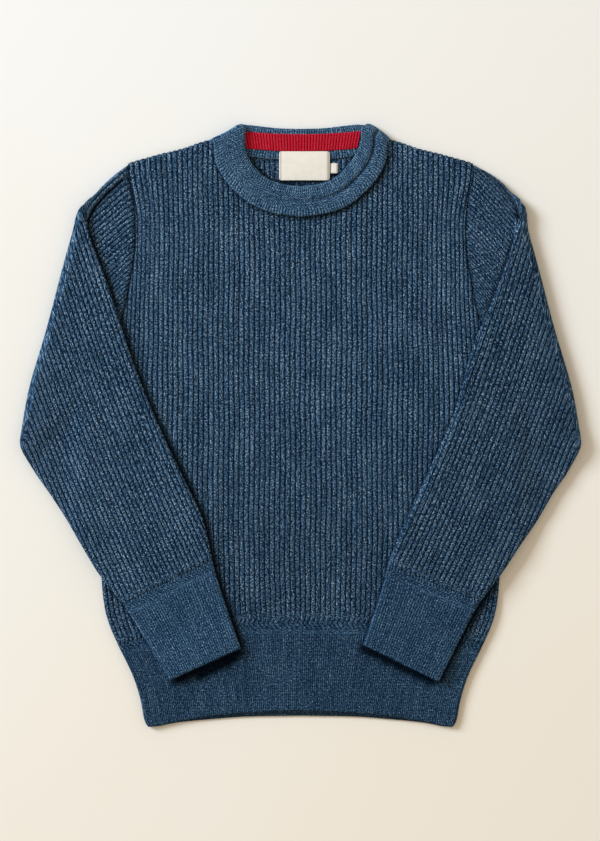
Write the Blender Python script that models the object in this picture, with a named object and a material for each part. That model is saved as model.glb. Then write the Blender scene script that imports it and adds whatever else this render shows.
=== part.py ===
"""A chunky ribbed crew-neck sweater laid flat on its back, both sleeves folded over its front.

Lengths are in millimetres while a shape is worked out, and become metres when its mesh is made.
Across is the distance from the centre line, along runs up towards the neck, height is off the surface.
"""

import bmesh
import bpy
import numpy as np

METRES_PER_MM = 0.001

# Cloth: one wall, the hollow between two walls, and how far ribs stand out of the outer face
WALL = 3.2
HOLLOW = 1.2
RIB_RISE = 0.9
FINE_RIB_RISE = 0.5
FLAT = 2 * WALL + HOLLOW
MID_HEIGHT = FLAT / 2
# Gaps between the front and the back, between pieces side by side, and between layers
SEAM_GAP = 0.3
PLAN_GAP = 0.45
LAYER_GAP = 0.4
# How far in from a rolled edge its first line of points lies
EDGE_IN = 0.9

# Colours, linear
BLUE = (0.031, 0.070, 0.118)
RED = (0.42, 0.013, 0.025)
CREAM = (0.75, 0.72, 0.62)
WOOL_ROUGHNESS = 0.95

# Body
HALF_CHEST = 239.4
BODY_RIBS = 78
HEM_RIBS = 164
UNDERARM = (239.4, 68.4)
NECK_SIDE = 108.6
SHOULDER_TOP = 344.5
UNDERARM_BLEND = 16.0
# The hem's join dips towards the sides: its height at the middle, its drop at the side, and its power
JOIN_ALONG, JOIN_DROP, JOIN_ACROSS, JOIN_POWER = -231.5, 28.0, 219.5, 2.4
# The outer ribs lean out towards the shoulder: where that starts, over what length, and by what share
LEAN_START, LEAN_RUN, LEAN_SHARE, LEAN_ACROSS, LEAN_POWER = 238.0, 78.0, 0.045, 198.0, 6
# Puts the middle of the whole garment's length at zero
ALONG_SHIFT = -2.7

SIDE_SEAM = (  # along, across
    (-362.0, 178.0),
    (-358.0, 184.0),
    (-349.0, 188.0),
    (-325.0, 192.6),
    (-296.4, 202.0),
    (-260.0, 219.5),
    (-234.0, 230.5),
    (-211.0, 236.0),
    (-180.0, 239.0),
    (-150.0, 239.4),
    (68.4, 239.4),
)
ARMHOLE = (  # across, along, from the shoulder to the underarm
    (207.0, 315.0),
    (206.0, 298.0),
    (200.5, 274.0),
    (198.0, 238.0),
    (199.5, 204.0),
    (204.5, 176.0),
    (209.5, 149.0),
    (214.0, 132.0),
    (225.0, 100.0),
    (239.4, 68.4),
)
SHOULDER = (  # across, along
    (0.0, 372.0),
    (108.6, 344.5),
    (140.0, 334.2),
    (169.0, 326.8),
    (207.0, 315.0),
    (239.4, 304.5),
)
HEM_FRONT = (  # across, along
    (0.0, -339.0),
    (74.0, -343.0),
    (113.0, -347.5),
    (143.0, -352.5),
    (168.0, -358.0),
    (180.0, -359.5),
)
HEM_BACK = (  # across, along
    (0.0, -346.0),
    (60.0, -347.0),
    (96.0, -349.5),
    (143.0, -354.0),
    (168.0, -358.5),
    (180.0, -359.5),
)

# Neckband, seam edge and free edge of each station from the centre front round to the centre back
BAND_HALF = 2.8
BAND_LAP = 3.0
BAND_FRONT = (  # seam across, seam along, free across, free along, seam height, free height
    (0.0, 252.0, 0.0, 290.4, 11.7, 8.6),
    (32.7, 256.8, 20.7, 293.4, 11.7, 8.6),
    (53.0, 264.0, 37.5, 300.0, 11.7, 8.8),
    (67.8, 273.6, 50.6, 309.6, 11.7, 9.2),
    (84.6, 289.2, 60.0, 321.6, 11.7, 9.9),
    (97.5, 307.5, 65.7, 333.6, 11.7, 10.8),
    (104.0, 325.0, 68.0, 347.0, 11.7, 11.5),
)
BAND_CORNER = (104.2, 340.1, 68.7, 360.1)
BAND_BACK = (  # seam across, seam along, free across, free along
    (93.0, 332.0, 67.0, 363.8),
    (60.0, 324.5, 50.0, 362.0),
    (30.0, 321.5, 27.0, 359.4),
    (0.0, 321.0, 0.0, 358.6),
)
# Half the height between the band's front and back at the shoulder, and the height that it turns about
BAND_TURN = 4.45
BAND_AXIS = BAND_HALF + BAND_TURN
BAND_FOLD = (  # degrees turned, share of the trough
    (0, 0.5),
    (45, 0.4),
    (90, 0.3),
    (135, 0.2),
    (180, 0.0),
)
BAND_PROFILE = (  # share of the width from the seam edge, share of half the thickness, trough
    (0.0, 0.0, 0.0),
    (0.035, 0.68, 0.0),
    (0.12, 1.0, 0.0),
    (0.3, 1.0, 0.0),
    (0.42, 1.0, 0.1),
    (0.5, 1.0, 0.25),
    (0.6, 1.0, 0.1),
    (0.72, 1.0, 0.0),
    (0.88, 1.0, 0.0),
    (0.965, 0.68, 0.0),
    (1.0, 0.0, 0.0),
    (0.965, -0.68, 0.0),
    (0.88, -1.0, 0.0),
    (0.5, -1.0, 0.0),
    (0.12, -1.0, 0.0),
    (0.035, -0.68, 0.0),
)

# Sleeve, upper edge and under edge of each section
SLEEVE_RIBS = 28
HEAD_RIBS = 15
CREASE = (  # across, along, where the sleeve turns back over itself
    (256.0, 261.0),
    (264.0, 237.0),
    (277.5, 189.0),
    (296.5, 117.0),
    (317.5, 45.0),
    (328.0, -14.0),
)
CREASE_HEADING = (66.0, -271.0)
# Turn about the crease in degrees, and the ribs' shares of their full rise on the two walls
FOLD = (
    (0, 0.0, 0.7),
    (50, 0.3, 0.0),
    (90, 1.0, 0.0),
    (130, 1.0, 0.0),
    (180, 1.0, 0.0),
)
# The section half-way from the armhole to the crease, as in the tables below
LEFT_HEAD = (240.0, 287.5, 285.0, 30.0)
RIGHT_HEAD = (244.5, 287.5, 285.0, 30.0)
TURN = (FLAT + RIB_RISE + LAYER_GAP) / 2
# How far the sleeve sinks towards the surface beyond the body, from how far out, over what run
SAG = 4.5
SAG_START = 16.0
SAG_RUN = 30.0
# Every which point a hidden wall keeps, and the points across a lining
COARSE_STEP = 6
LINING_POINTS = 9
LEFT_SLEEVE = (  # upper across, upper along, under across, under along
    (250.0, 222.0, 331.0, -32.0),
    (226.0, 158.0, 320.0, -53.0),
    (202.0, 82.0, 301.0, -79.0),
    (171.0, 5.0, 281.4, -109.0),
    (140.0, -60.0, 262.0, -142.0),
    (117.0, -110.0, 240.6, -177.0),
    (105.6, -158.4, 213.0, -211.0),
)
RIGHT_SLEEVE = (  # upper across, upper along, under across, under along
    (252.0, 215.0, 331.5, -32.0),
    (233.0, 160.0, 321.0, -54.0),
    (206.0, 95.0, 303.0, -79.0),
    (183.0, 15.0, 285.0, -110.0),
    (152.0, -55.0, 263.0, -142.0),
    (122.0, -120.0, 241.0, -175.0),
    (104.6, -164.0, 215.0, -209.0),
)
CUFF_RIBS = 36
LEFT_CUFF = (  # upper across, upper along, under across, under along
    (105.6, -158.4, 213.0, -211.0),
    (97.0, -190.0, 197.0, -236.0),
    (71.4, -260.4, 155.4, -301.0),
)
RIGHT_CUFF = (  # upper across, upper along, under across, under along
    (104.6, -164.0, 215.0, -209.0),
    (97.0, -195.0, 200.0, -233.0),
    (73.2, -262.6, 162.0, -302.8),
)

# Facing inside the back of the neck: its edges' heights along at the middle, and their rise at its ends
FACING_RIBS = 41
FACING_HALF = 73.0
FACING_LOW, FACING_HIGH, FACING_CURVE = 332.6, 353.5, 2.1
FACING_TAPER = 0.06
FACING_THICK, FACING_RIM = 1.2, 0.6

# Label and size tag: left, right, low and high edges
LABEL = (-25.8, 35.4, 297.6, 332.0)
LABEL_DROP = (  # along, height of the label's back
    (332.0, 5.9),
    (321.0, 5.9),
    (308.0, 5.2),
    (297.6, 4.7),
)
LABEL_COLUMNS = (  # share across, share of the thickness
    (0.0, 0.6),
    (0.03, 1.0),
    (0.5, 1.0),
    (0.97, 1.0),
    (1.0, 0.6),
)
TAG = (37.0, 45.5, 306.0, 318.0)
LABEL_THICK = 0.8


# Curves


def smooth(table, per_span=24):
    """Points on a smooth curve through the rows of a table, by Catmull-Rom between neighbours."""
    rows = np.array(table, float)
    ends = np.vstack([2 * rows[0] - rows[1], rows, 2 * rows[-1] - rows[-2]])
    share = np.linspace(0, 1, per_span, endpoint=False)[:, None]
    spans = []
    for before, start, stop, after in zip(ends, ends[1:], ends[2:], ends[3:], strict=False):
        spans.append(
            start
            + share * (stop - before) / 2
            + share**2 * (before - 2.5 * start + 2 * stop - after / 2)
            + share**3 * (1.5 * (start - stop) + (after - before) / 2)
        )
    return np.vstack([*spans, rows[-1:]])


def soft_step(share):
    share = np.clip(share, 0, 1)
    return share * share * (3 - 2 * share)


def roll(distance):
    """Share of the full height at a distance in from a rolled edge: a quarter circle, then 1."""
    share = np.clip(distance / MID_HEIGHT, 0, 1)
    return np.sqrt(1 - (1 - share) ** 2)


SIDE_CURVE = smooth(SIDE_SEAM)
ARMHOLE_CURVE = smooth(ARMHOLE)[::-1]
SHOULDER_CURVE = smooth(SHOULDER)


def side(along):
    return np.interp(along, SIDE_CURVE[:, 0], SIDE_CURVE[:, 1])


def armhole(along):
    return np.interp(along, ARMHOLE_CURVE[:, 1], ARMHOLE_CURVE[:, 0])


def shoulder(across):
    return np.interp(np.abs(across), SHOULDER_CURVE[:, 0], SHOULDER_CURVE[:, 1])


def hem_join(across):
    return JOIN_ALONG - JOIN_DROP * (np.abs(across) / JOIN_ACROSS) ** JOIN_POWER


def join_line(columns):
    """Across and along of the seam between body and hem, for shares across."""
    across = columns * HALF_CHEST
    for _ in range(12):
        along = hem_join(across)
        across = columns * side(along)
    return across, along


def edge_of_body(along):
    """Distance across to the side seam, or to the armhole above the underarm."""
    return np.where(along > UNDERARM[1], armhole(along), side(along))


# Meshes


def strip(first, first_at, second, second_at):
    """Triangles between two lines of point numbers, matched by their shares along them."""
    faces = []
    i = j = 0
    while i < len(first) - 1 or j < len(second) - 1:
        left = first_at[i + 1] if i < len(first) - 1 else np.inf
        right = second_at[j + 1] if j < len(second) - 1 else np.inf
        if left <= right:
            faces.append((first[i], first[i + 1], second[j]))
            i += 1
        else:
            faces.append((first[i], second[j + 1], second[j]))
            j += 1
    return faces


def grid_faces(numbers):
    """Two triangles for each cell of a grid of point numbers."""
    a, b = numbers[:-1, :-1].ravel(), numbers[:-1, 1:].ravel()
    c, d = numbers[1:, 1:].ravel(), numbers[1:, :-1].ravel()
    return np.concatenate([np.stack([a, b, c], 1), np.stack([a, c, d], 1)])


def make_object(name, points, faces, colour, roughness):
    """One closed body from triangles, with points that coincide made one."""
    _, first, number = np.unique(
        np.round(points, 4), axis=0, return_index=True, return_inverse=True
    )
    points, faces = points[first], number.reshape(-1)[np.asarray(faces)]
    whole = (
        (faces[:, 0] != faces[:, 1])
        & (faces[:, 1] != faces[:, 2])
        & (faces[:, 2] != faces[:, 0])
    )
    points = (points + (0, ALONG_SHIFT, 0)) * METRES_PER_MM
    mesh = bpy.data.meshes.new(name)
    mesh.from_pydata(points.tolist(), [], faces[whole].tolist())
    build = bmesh.new()
    build.from_mesh(mesh)
    bmesh.ops.recalc_face_normals(build, faces=build.faces)
    if build.calc_volume(signed=True) < 0:
        bmesh.ops.reverse_faces(build, faces=build.faces)
    build.to_mesh(mesh)
    build.free()
    mesh.shade_smooth()
    mesh.set_sharp_from_angle(angle=0.9)
    piece = bpy.data.objects.new(name, mesh)
    piece.data.materials.append(yarn(name, colour, roughness))
    bpy.context.scene.collection.objects.link(piece)
    return piece


def yarn(name, colour, roughness):
    material = bpy.data.materials.new(name)
    material.use_nodes = True
    shader = material.node_tree.nodes["Principled BSDF"]
    shader.inputs["Base Color"].default_value = (*colour, 1)
    shader.inputs["Roughness"].default_value = roughness
    shader.inputs["Metallic"].default_value = 0
    return material


def panel(name, outer, inner, colour=BLUE):
    """A sheet's solid. outer and inner are (points of a grid, shares down it, shares across it)."""
    (top, top_down, top_across), (under, under_down, under_across) = outer, inner
    top_count = top.shape[0] * top.shape[1]
    top_numbers = np.arange(top_count).reshape(top.shape[:2])
    under_numbers = top_count + np.arange(under.shape[0] * under.shape[1]).reshape(under.shape[:2])
    faces = [grid_faces(top_numbers), grid_faces(under_numbers)]
    for row in (0, -1):
        faces.append(strip(top_numbers[row], top_across, under_numbers[row], under_across))
    for column in (0, -1):
        faces.append(
            strip(top_numbers[:, column], top_down, under_numbers[:, column], under_down)
        )
    points = np.concatenate([top.reshape(-1, 3), under.reshape(-1, 3)])
    return make_object(name, points, np.concatenate(faces), colour, WOOL_ROUGHNESS)


def tube(name, outer, outer_at, inner, inner_at, colour=BLUE):
    """An open tube's solid from rings of outer and inner points, with a rim at each end."""
    count = outer.shape[0] * outer.shape[1]
    outer_numbers = np.arange(count).reshape(outer.shape[:2])
    inner_numbers = count + np.arange(inner.shape[0] * inner.shape[1]).reshape(inner.shape[:2])
    closed_outer = np.concatenate([outer_numbers, outer_numbers[:, :1]], 1)
    closed_inner = np.concatenate([inner_numbers, inner_numbers[:, :1]], 1)
    faces = [grid_faces(closed_outer), grid_faces(closed_inner)]
    for end in (0, -1):
        faces.append(
            strip(closed_outer[end], [*outer_at, 1.0], closed_inner[end], [*inner_at, 1.0])
        )
    points = np.concatenate([outer.reshape(-1, 3), inner.reshape(-1, 3)])
    return make_object(name, points, np.concatenate(faces), colour, WOOL_ROUGHNESS)


# Body panels


def body_plan(columns, rows, neck, inset):
    """Across and along of a body panel's grid, cut off at the neckline and at the armholes."""
    start = columns * HALF_CHEST
    bottom = join_line(columns)[1]
    top = shoulder(start) - inset
    cut = np.where(np.abs(start) < NECK_SIDE, neck(np.abs(start)), np.inf)
    along = np.minimum(bottom + rows[:, None] * (top - bottom), cut)
    outer_share = np.clip(np.abs(start) / LEAN_ACROSS, 0, 1) ** LEAN_POWER
    lean = 1 + LEAN_SHARE * soft_step((along - LEAN_START) / LEAN_RUN) * outer_share
    across = start * side(along) / HALF_CHEST * lean
    for row_across, row_along in zip(across, along, strict=True):
        limit = edge_of_body(row_along) - inset * side_roll(row_along)
        inside = np.flatnonzero(np.abs(row_across) <= limit + 1e-6)
        for last, step in ((inside[0], -1), (inside[-1], 1)):
            beyond = last + step
            if not 0 <= beyond < len(columns):
                row_across[last] = np.sign(row_across[last]) * limit[last]
                continue
            over = np.abs(row_across[[last, beyond]]) - limit[[last, beyond]]
            share = -over[0] / (over[1] - over[0])
            height = row_along[last] + share * (row_along[beyond] - row_along[last])
            edge = edge_of_body(height) - inset * side_roll(height)
            outside = slice(0, last) if step < 0 else slice(beyond, None)
            row_across[outside] = step * edge
            row_along[outside] = height
    return across, along


def side_roll(along):
    """1 where the side edge rolls over to its seam, and 0 where the sleeve is sewn on."""
    return soft_step((UNDERARM[1] - along) / UNDERARM_BLEND + 0.5)


def body_columns(ribs):
    """Shares across a ribbed panel: a groove and a crest for each rib, and a point in each rolled edge."""
    half_ribs = np.linspace(-1, 1, 2 * ribs + 1)
    near = 1 - EDGE_IN / HALF_CHEST
    shares = np.concatenate([[-1, -near], half_ribs[1:-1], [near, 1]])
    crest = np.zeros(len(shares))
    crest[2:-2:2] = 1
    return shares, crest


def body_surface(columns, crest, rows, neck, sign):
    """The outer face of a body panel; sign is 1 for the front and -1 for the back."""
    across, along = body_plan(columns, rows, neck, 0.0)
    from_side = np.maximum(edge_of_body(along) - np.abs(across), 0)
    from_top = np.where(
        np.abs(across) > NECK_SIDE, np.maximum(shoulder(across) - along, 0), MID_HEIGHT
    )
    rolled_side = 1 - side_roll(along) * (1 - roll(from_side))
    rolled_top = roll(from_top)
    lift = (MID_HEIGHT - SEAM_GAP / 2) * rolled_side * rolled_top
    sewn = (from_side < 1e-3) & (along > UNDERARM[1])
    rise = RIB_RISE * crest * ~sewn * (sign > 0)
    height = MID_HEIGHT + sign * (SEAM_GAP / 2 + lift + rise * rolled_top)
    return np.stack([across, along + rise * (1 - rolled_top), height], -1)


def body_lining(columns, rows, neck, sign):
    """The plain inner face of a body panel, a wall's thickness inside its rolled edges."""
    across, along = body_plan(columns, rows, neck, WALL)
    height = np.full(across.shape, MID_HEIGHT + sign * HOLLOW / 2)
    at_side = (np.abs(columns) == 1) & (along < UNDERARM[1])
    at_top = (rows[:, None] == 1) & (np.abs(across) > NECK_SIDE)
    height[at_side | at_top] = MID_HEIGHT + sign * SEAM_GAP / 2
    return np.stack([across, along, height], -1)


def neck_curve(table, offset):
    """The neckband's seam edge, moved towards the shoulders by offset, in order across."""
    curve = smooth([row[:2] for row in table])
    heading = np.gradient(curve, axis=0)
    heading /= np.linalg.norm(heading, axis=1)[:, None]
    moved = curve + offset * np.stack([heading[:, 1], -heading[:, 0]], 1)
    order = np.argsort(moved[:, 0])
    return np.vstack([moved[order], [(NECK_SIDE, SHOULDER_TOP)]])


def front_neck(across):
    curve = neck_curve([*BAND_FRONT, BAND_CORNER], -BAND_LAP)
    return np.interp(across, curve[:, 0], curve[:, 1])


def back_neck(across):
    curve = neck_curve([*BAND_BACK[::-1], BAND_CORNER], PLAN_GAP)
    return np.interp(across, curve[:, 0], curve[:, 1])


# Rows up a panel, from the hem's join to the shoulder: 0.58 ends at the underarm, and the last three
# are in the shoulder's rolled edge
BODY_ROWS = np.array([0, 0.05, 0.13, 0.58, 0.66, 0.74, 0.82, 0.91, 0.9935, 0.9985, 1])
RIB_COLUMNS, RIB_CREST = body_columns(BODY_RIBS)
FLAT_COLUMNS = body_columns(BODY_RIBS // 5)[0]
PLAIN_COLUMNS = np.linspace(-1, 1, 21)
HEM_ROWS = np.array([0, 0.55, 1])


def make_body():
    lining_rows = BODY_ROWS[[0, 1, 2, 3, 4, 5, 6, 7, 10]]
    for name, neck, sign in (("front_panel", front_neck, 1), ("back_panel", back_neck, -1)):
        columns = RIB_COLUMNS if sign > 0 else FLAT_COLUMNS
        raised = RIB_CREST if sign > 0 else np.zeros(len(columns))
        outer = body_surface(columns, raised, BODY_ROWS, neck, sign)
        inner = body_lining(PLAIN_COLUMNS, lining_rows, neck, sign)
        panel(name, (outer, BODY_ROWS, columns), (inner, lining_rows, PLAIN_COLUMNS))


def hem_surface(columns, crest, rows, bottom_table, sign, inset=0.0):
    """One face of the hem's rib welt between its join to the panel and its lower edge."""
    bottom_curve = smooth(bottom_table)
    top = join_line(columns)[1] - PLAN_GAP
    widest = bottom_curve[-1, 0]
    bottom = np.interp(np.abs(columns) * widest, bottom_curve[:, 0], bottom_curve[:, 1])
    along = top + rows[:, None] * (bottom - top)
    across = columns * (side(along) - inset)
    from_side = side(along) - np.abs(across)
    rise = FINE_RIB_RISE * crest * (sign > 0)
    height = MID_HEIGHT + sign * (SEAM_GAP / 2 + (MID_HEIGHT - SEAM_GAP / 2) * roll(from_side) + rise)
    return np.stack([across, along, height], -1)


def make_hem():
    shares, crest = body_columns(HEM_RIBS)
    plain_crest = np.zeros(len(PLAIN_COLUMNS))
    for name, table, sign in (("front_hem", HEM_FRONT, 1), ("back_hem", HEM_BACK, -1)):
        columns = shares if sign > 0 else FLAT_COLUMNS
        raised = crest if sign > 0 else np.zeros(len(columns))
        outer = hem_surface(columns, raised, HEM_ROWS, table, sign)
        inner = hem_surface(PLAIN_COLUMNS, plain_crest, HEM_ROWS, table, sign, WALL)
        inner[..., 2] = MID_HEIGHT + sign * HOLLOW / 2
        inner[:, [0, -1], 2] = MID_HEIGHT + sign * SEAM_GAP / 2
        panel(name, (outer, HEM_ROWS, columns), (inner, HEM_ROWS, PLAIN_COLUMNS))


# Sleeves and cuffs


def along_section(length, ribs):
    """Distances across a flattened tube: its edge, a point in the roll, then two points for each rib."""
    ribbed = np.linspace(MID_HEIGHT, length - MID_HEIGHT, 2 * ribs + 1)
    return np.concatenate([[0, EDGE_IN], ribbed, [length - EDGE_IN, length]])


def head_distances(length, ribs, full_ribs):
    """The same distances for a wall that is ribbed only next to its upper edge, and coarse past that."""
    every = along_section(length, full_ribs)
    ribbed = 2 * ribs + 3
    return np.concatenate([every[:ribbed], every[ribbed::COARSE_STEP][:-1], every[-2:]])


def distances(line):
    """Distance of each point of a line from its start."""
    return np.concatenate([[0], np.cumsum(np.linalg.norm(np.diff(line, axis=0), axis=1))])


def ring(base, out, angle, upper_rise, lower_rise, ribs, head_ribs):
    """One outer ring of a flattened tube whose width follows base, turned by angle about a fold.

    The wall on the fold's outer side comes first, from the upper edge to the under edge, then the
    other wall back again.
    """
    length = distances(base)[-1]
    first = along_section(length, ribs)
    second = head_distances(length, head_ribs, ribs)
    first_crest = np.zeros(len(first))
    first_crest[3:-3:2] = 1
    second_crest = np.zeros(len(second))
    second_crest[3 : 2 * head_ribs + 3 : 2] = 1
    distance = np.concatenate([first, second[-2:0:-1]])
    wall = np.concatenate([np.ones(len(first)), -np.ones(len(second) - 2)])
    rise = np.concatenate([upper_rise * first_crest, lower_rise * second_crest[-2:0:-1]])
    thick = wall * (MID_HEIGHT * roll(np.minimum(distance, length - distance)) + rise)
    return place(base, distance, thick, out, angle)


def lining_ring(base, out, angle):
    """The inner ring that goes with ring: a thin flat hollow between the walls."""
    across = np.linspace(WALL, distances(base)[-1] - WALL, LINING_POINTS)
    half = np.full(len(across), HOLLOW / 2)
    half[[0, -1]] = 0
    thick = np.concatenate([half, -half[-2:0:-1]])
    return place(base, np.concatenate([across, across[-2:0:-1]]), thick, out, angle)


def place(base, distance, thick, out, angle):
    """Points at distances along base and offsets from the cloth's middle, turned about the fold."""
    plan = np.stack([np.interp(distance, distances(base), base[:, k]) for k in (0, 1)], 1)
    plan = plan + ((TURN + thick) * np.sin(angle))[:, None] * out
    height = MID_HEIGHT + TURN - (TURN + thick) * np.cos(angle)
    sag = floor_sag(plan) if angle == np.pi else 0
    return np.column_stack([plan, height - sag])


def floor_sag(plan):
    """How far the sleeve sinks where neither the body nor its own upper part is beneath it."""
    corner = np.array(UNDERARM)
    run = np.array(CREASE[-1]) - corner
    run /= np.linalg.norm(run)
    past_side = plan[:, 0] - HALF_CHEST - SAG_START
    offset = plan - corner
    past_upper = -(run[0] * offset[:, 1] - run[1] * offset[:, 0])
    return SAG * soft_step(np.minimum(past_side, past_upper) / SAG_RUN)


def straight(row):
    share = np.linspace(0, 1, LINING_POINTS)[:, None]
    return np.array(row[:2]) * (1 - share) + np.array(row[2:4]) * share


def armhole_line(offset):
    """The front panel's own armhole points from the shoulder down, moved off the body by offset."""
    across, along = body_plan(RIB_COLUMNS, BODY_ROWS, front_neck, 0.0)
    edge = np.stack([across[:, -1], along[:, -1]], 1)[::-1]
    edge = edge[edge[:, 1] >= UNDERARM[1] - 1]
    edge = edge[np.concatenate([[True], np.linalg.norm(np.diff(edge, axis=0), axis=1) > 0.5])]
    heading = np.gradient(edge, axis=0)
    heading /= np.linalg.norm(heading, axis=1)[:, None]
    return edge + offset * np.stack([-heading[:, 1], heading[:, 0]], 1)


def sleeve_sections(head, table):
    """Every section of a sleeve: its line in plan, the way out of its fold, its angle, its ribs' shares."""
    crease = smooth(CREASE)
    run = np.array(CREASE_HEADING) / np.linalg.norm(CREASE_HEADING)
    out = np.array([-run[1], run[0]])
    sections = [(line, out, 0.0, 0.0, 1.0) for line in (armhole_line(2 * PLAN_GAP), straight(head))]
    sections += [(crease, out, np.radians(angle), upper, lower) for angle, upper, lower in FOLD]
    sections += [(straight(row), out, np.pi, 1.0, 0.0) for row in table]
    return sections


def make_tube(name, sections, ribs, head_ribs, rise, mirror):
    """A flattened tube through the sections, mirrored for the left side."""
    outer, inner = [], []
    for base, out, angle, upper, lower in sections:
        outer.append(ring(base, out, angle, rise * upper, rise * lower, ribs, head_ribs))
        inner.append(lining_ring(base, out, angle))
    outer, inner = np.array(outer), np.array(inner)
    flip = np.array([-1 if mirror else 1, 1, 1])
    count = outer.shape[1]
    back = 2 * ribs + 5
    outer_at = np.concatenate(
        [np.linspace(0, 0.5, back), np.linspace(0.5, 1, count - back + 2)[1:-1]]
    )
    inner_at = np.linspace(0, 1, inner.shape[1], endpoint=False)
    return tube(name, outer * flip, outer_at, inner * flip, inner_at)


def make_sleeves():
    for name, head, table, mirror in (
        ("left_sleeve", LEFT_HEAD, LEFT_SLEEVE, True),
        ("right_sleeve", RIGHT_HEAD, RIGHT_SLEEVE, False),
    ):
        make_tube(name, sleeve_sections(head, table), SLEEVE_RIBS, HEAD_RIBS, RIB_RISE, mirror)


def make_cuffs():
    for name, table, mirror in (
        ("left_cuff", LEFT_CUFF, True),
        ("right_cuff", RIGHT_CUFF, False),
    ):
        rows = np.array(table, float)
        run = rows[1] - rows[0]
        rows[0] += 2 * PLAN_GAP * run / np.linalg.norm(run[:2])
        sections = [(straight(row), np.zeros(2), np.pi, 1.0, 0.0) for row in rows]
        make_tube(name, sections, CUFF_RIBS, 0, FINE_RIB_RISE, mirror)


# Neckband and what lies inside the back of the neck


def band_ring(seam, free, heights, angle, trough):
    """The closed profile of the neckband at one station.

    heights are the middle's at the seam and at the free edge on the front. At the shoulder the band
    turns over by angle, about a line half-way between its front and its back.
    """
    share, thick, hollowed = np.array(BAND_PROFILE).T
    offset = BAND_HALF * (thick - trough * hollowed)
    plan = seam + share[:, None] * (free - seam)
    middle = heights[0] + share * (heights[1] - heights[0])
    out = np.array([(free - seam)[1], (seam - free)[0]]) / np.linalg.norm(free - seam)
    plan = plan + ((BAND_TURN + offset) * np.sin(angle))[:, None] * out
    return np.column_stack([plan, middle + (BAND_TURN + offset) * np.cos(angle)])


def make_neckband():
    """Rings from the centre front over the shoulder to the centre back, then the same mirrored."""
    half = []
    for row in smooth(BAND_FRONT, 2):
        half.append(band_ring(row[:2], row[2:4], row[4:] - BAND_TURN, 0.0, 1.0))
    seam, free = np.reshape(BAND_CORNER, (2, 2))
    for degrees, trough in BAND_FOLD:
        half.append(band_ring(seam, free, (BAND_AXIS, BAND_AXIS), np.radians(degrees), trough))
    for row in smooth(BAND_BACK, 2):
        half.append(band_ring(row[:2], row[2:], (BAND_AXIS, BAND_AXIS), np.pi, 0.0))
    rings = np.array(half + [rung * (-1, 1, 1) for rung in half[-2:0:-1]])
    count = rings.shape[0] * rings.shape[1]
    numbers = np.arange(count).reshape(rings.shape[:2])
    numbers = np.concatenate([numbers, numbers[:1]])
    numbers = np.concatenate([numbers, numbers[:, :1]], 1)
    make_object("neckband", rings.reshape(-1, 3), grid_faces(numbers), BLUE, WOOL_ROUGHNESS)


def facing_plan(columns, rows):
    """Across and along of the facing's grid: a curved strip, a little narrower at its lower edge."""
    lower, upper = (edge + FACING_CURVE * columns**2 for edge in (FACING_LOW, FACING_HIGH))
    along = lower + rows[:, None] * (upper - lower)
    across = columns * FACING_HALF / (1 + FACING_TAPER * (1 - rows[:, None]))
    return across, along


def make_facing():
    """The red ribbed facing on the inner face of the back neckband."""
    columns = np.linspace(-1, 1, 2 * FACING_RIBS + 1)
    rows = np.array([0.0, 0.08, 0.92, 1.0])
    seat = 2 * BAND_HALF + SEAM_GAP
    rise = FACING_THICK - FACING_RIM + FINE_RIB_RISE * (np.arange(len(columns)) % 2)
    height = seat + FACING_RIM + np.outer([0, 1, 1, 0], rise)
    outer = np.stack([*facing_plan(columns, rows), height], -1)
    plain, ends = np.linspace(-1, 1, LINING_POINTS), np.array([0.0, 1.0])
    inner = np.stack([*facing_plan(plain, ends), np.full((2, len(plain)), seat)], -1)
    panel("neck_facing", (outer, rows, columns), (inner, ends, plain), RED)


def make_label():
    """A woven label hung from the neckband's seam, and the size tag that shows beside it."""
    left, right, _, _ = LABEL
    drop = smooth(LABEL_DROP, 3)[::-1]
    columns, share = np.array(LABEL_COLUMNS).T
    across, along = np.meshgrid(left + columns * (right - left), drop[:, 0])
    back = np.stack([across, along, np.repeat(drop[:, 1:], len(columns), 1)], -1)
    face = back.copy()
    face[..., 2] += LABEL_THICK * share
    rows = np.linspace(0, 1, len(drop))
    panel("neck_label", (face, rows, columns), (back, rows, columns), CREAM)
    left, right, low, high = TAG
    ends = np.array([0.0, 1.0])
    across, along = np.meshgrid([left, right], [low, high])
    back = np.stack([across, along, np.full(across.shape, WALL + SEAM_GAP)], -1)
    panel("size_tag", (back + (0, 0, LABEL_THICK), ends, ends), (back, ends, ends), CREAM)


for old in list(bpy.data.objects):
    bpy.data.objects.remove(old, do_unlink=True)
make_body()
make_hem()
make_sleeves()
make_cuffs()
make_neckband()
make_facing()
make_label()
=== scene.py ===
# %% [markdown]
# # A chunky ribbed crew-neck sweater, laid flat
#
# The real garment is knitted from a marled blue wool: two body panels in a chunky rib, sleeves in the same
# rib, fine-ribbed hem, cuffs and neckband, and a strip of red rib inside the back of the neck with a woven
# label under it. It lies on its back on a pale table with both sleeves folded over the front, seen from
# straight above.
#
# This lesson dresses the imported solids. Every piece of cloth is a closed shell worked out with numpy: a
# grid of points for the face that shows, with its ribs and stitches as real relief, and a plain grid for
# the inside. Lengths are in millimetres until a mesh is made. Across is measured from the centre line,
# along runs up to the neck, and height is off the table. Left and right are those of the picture.

import functools

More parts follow.
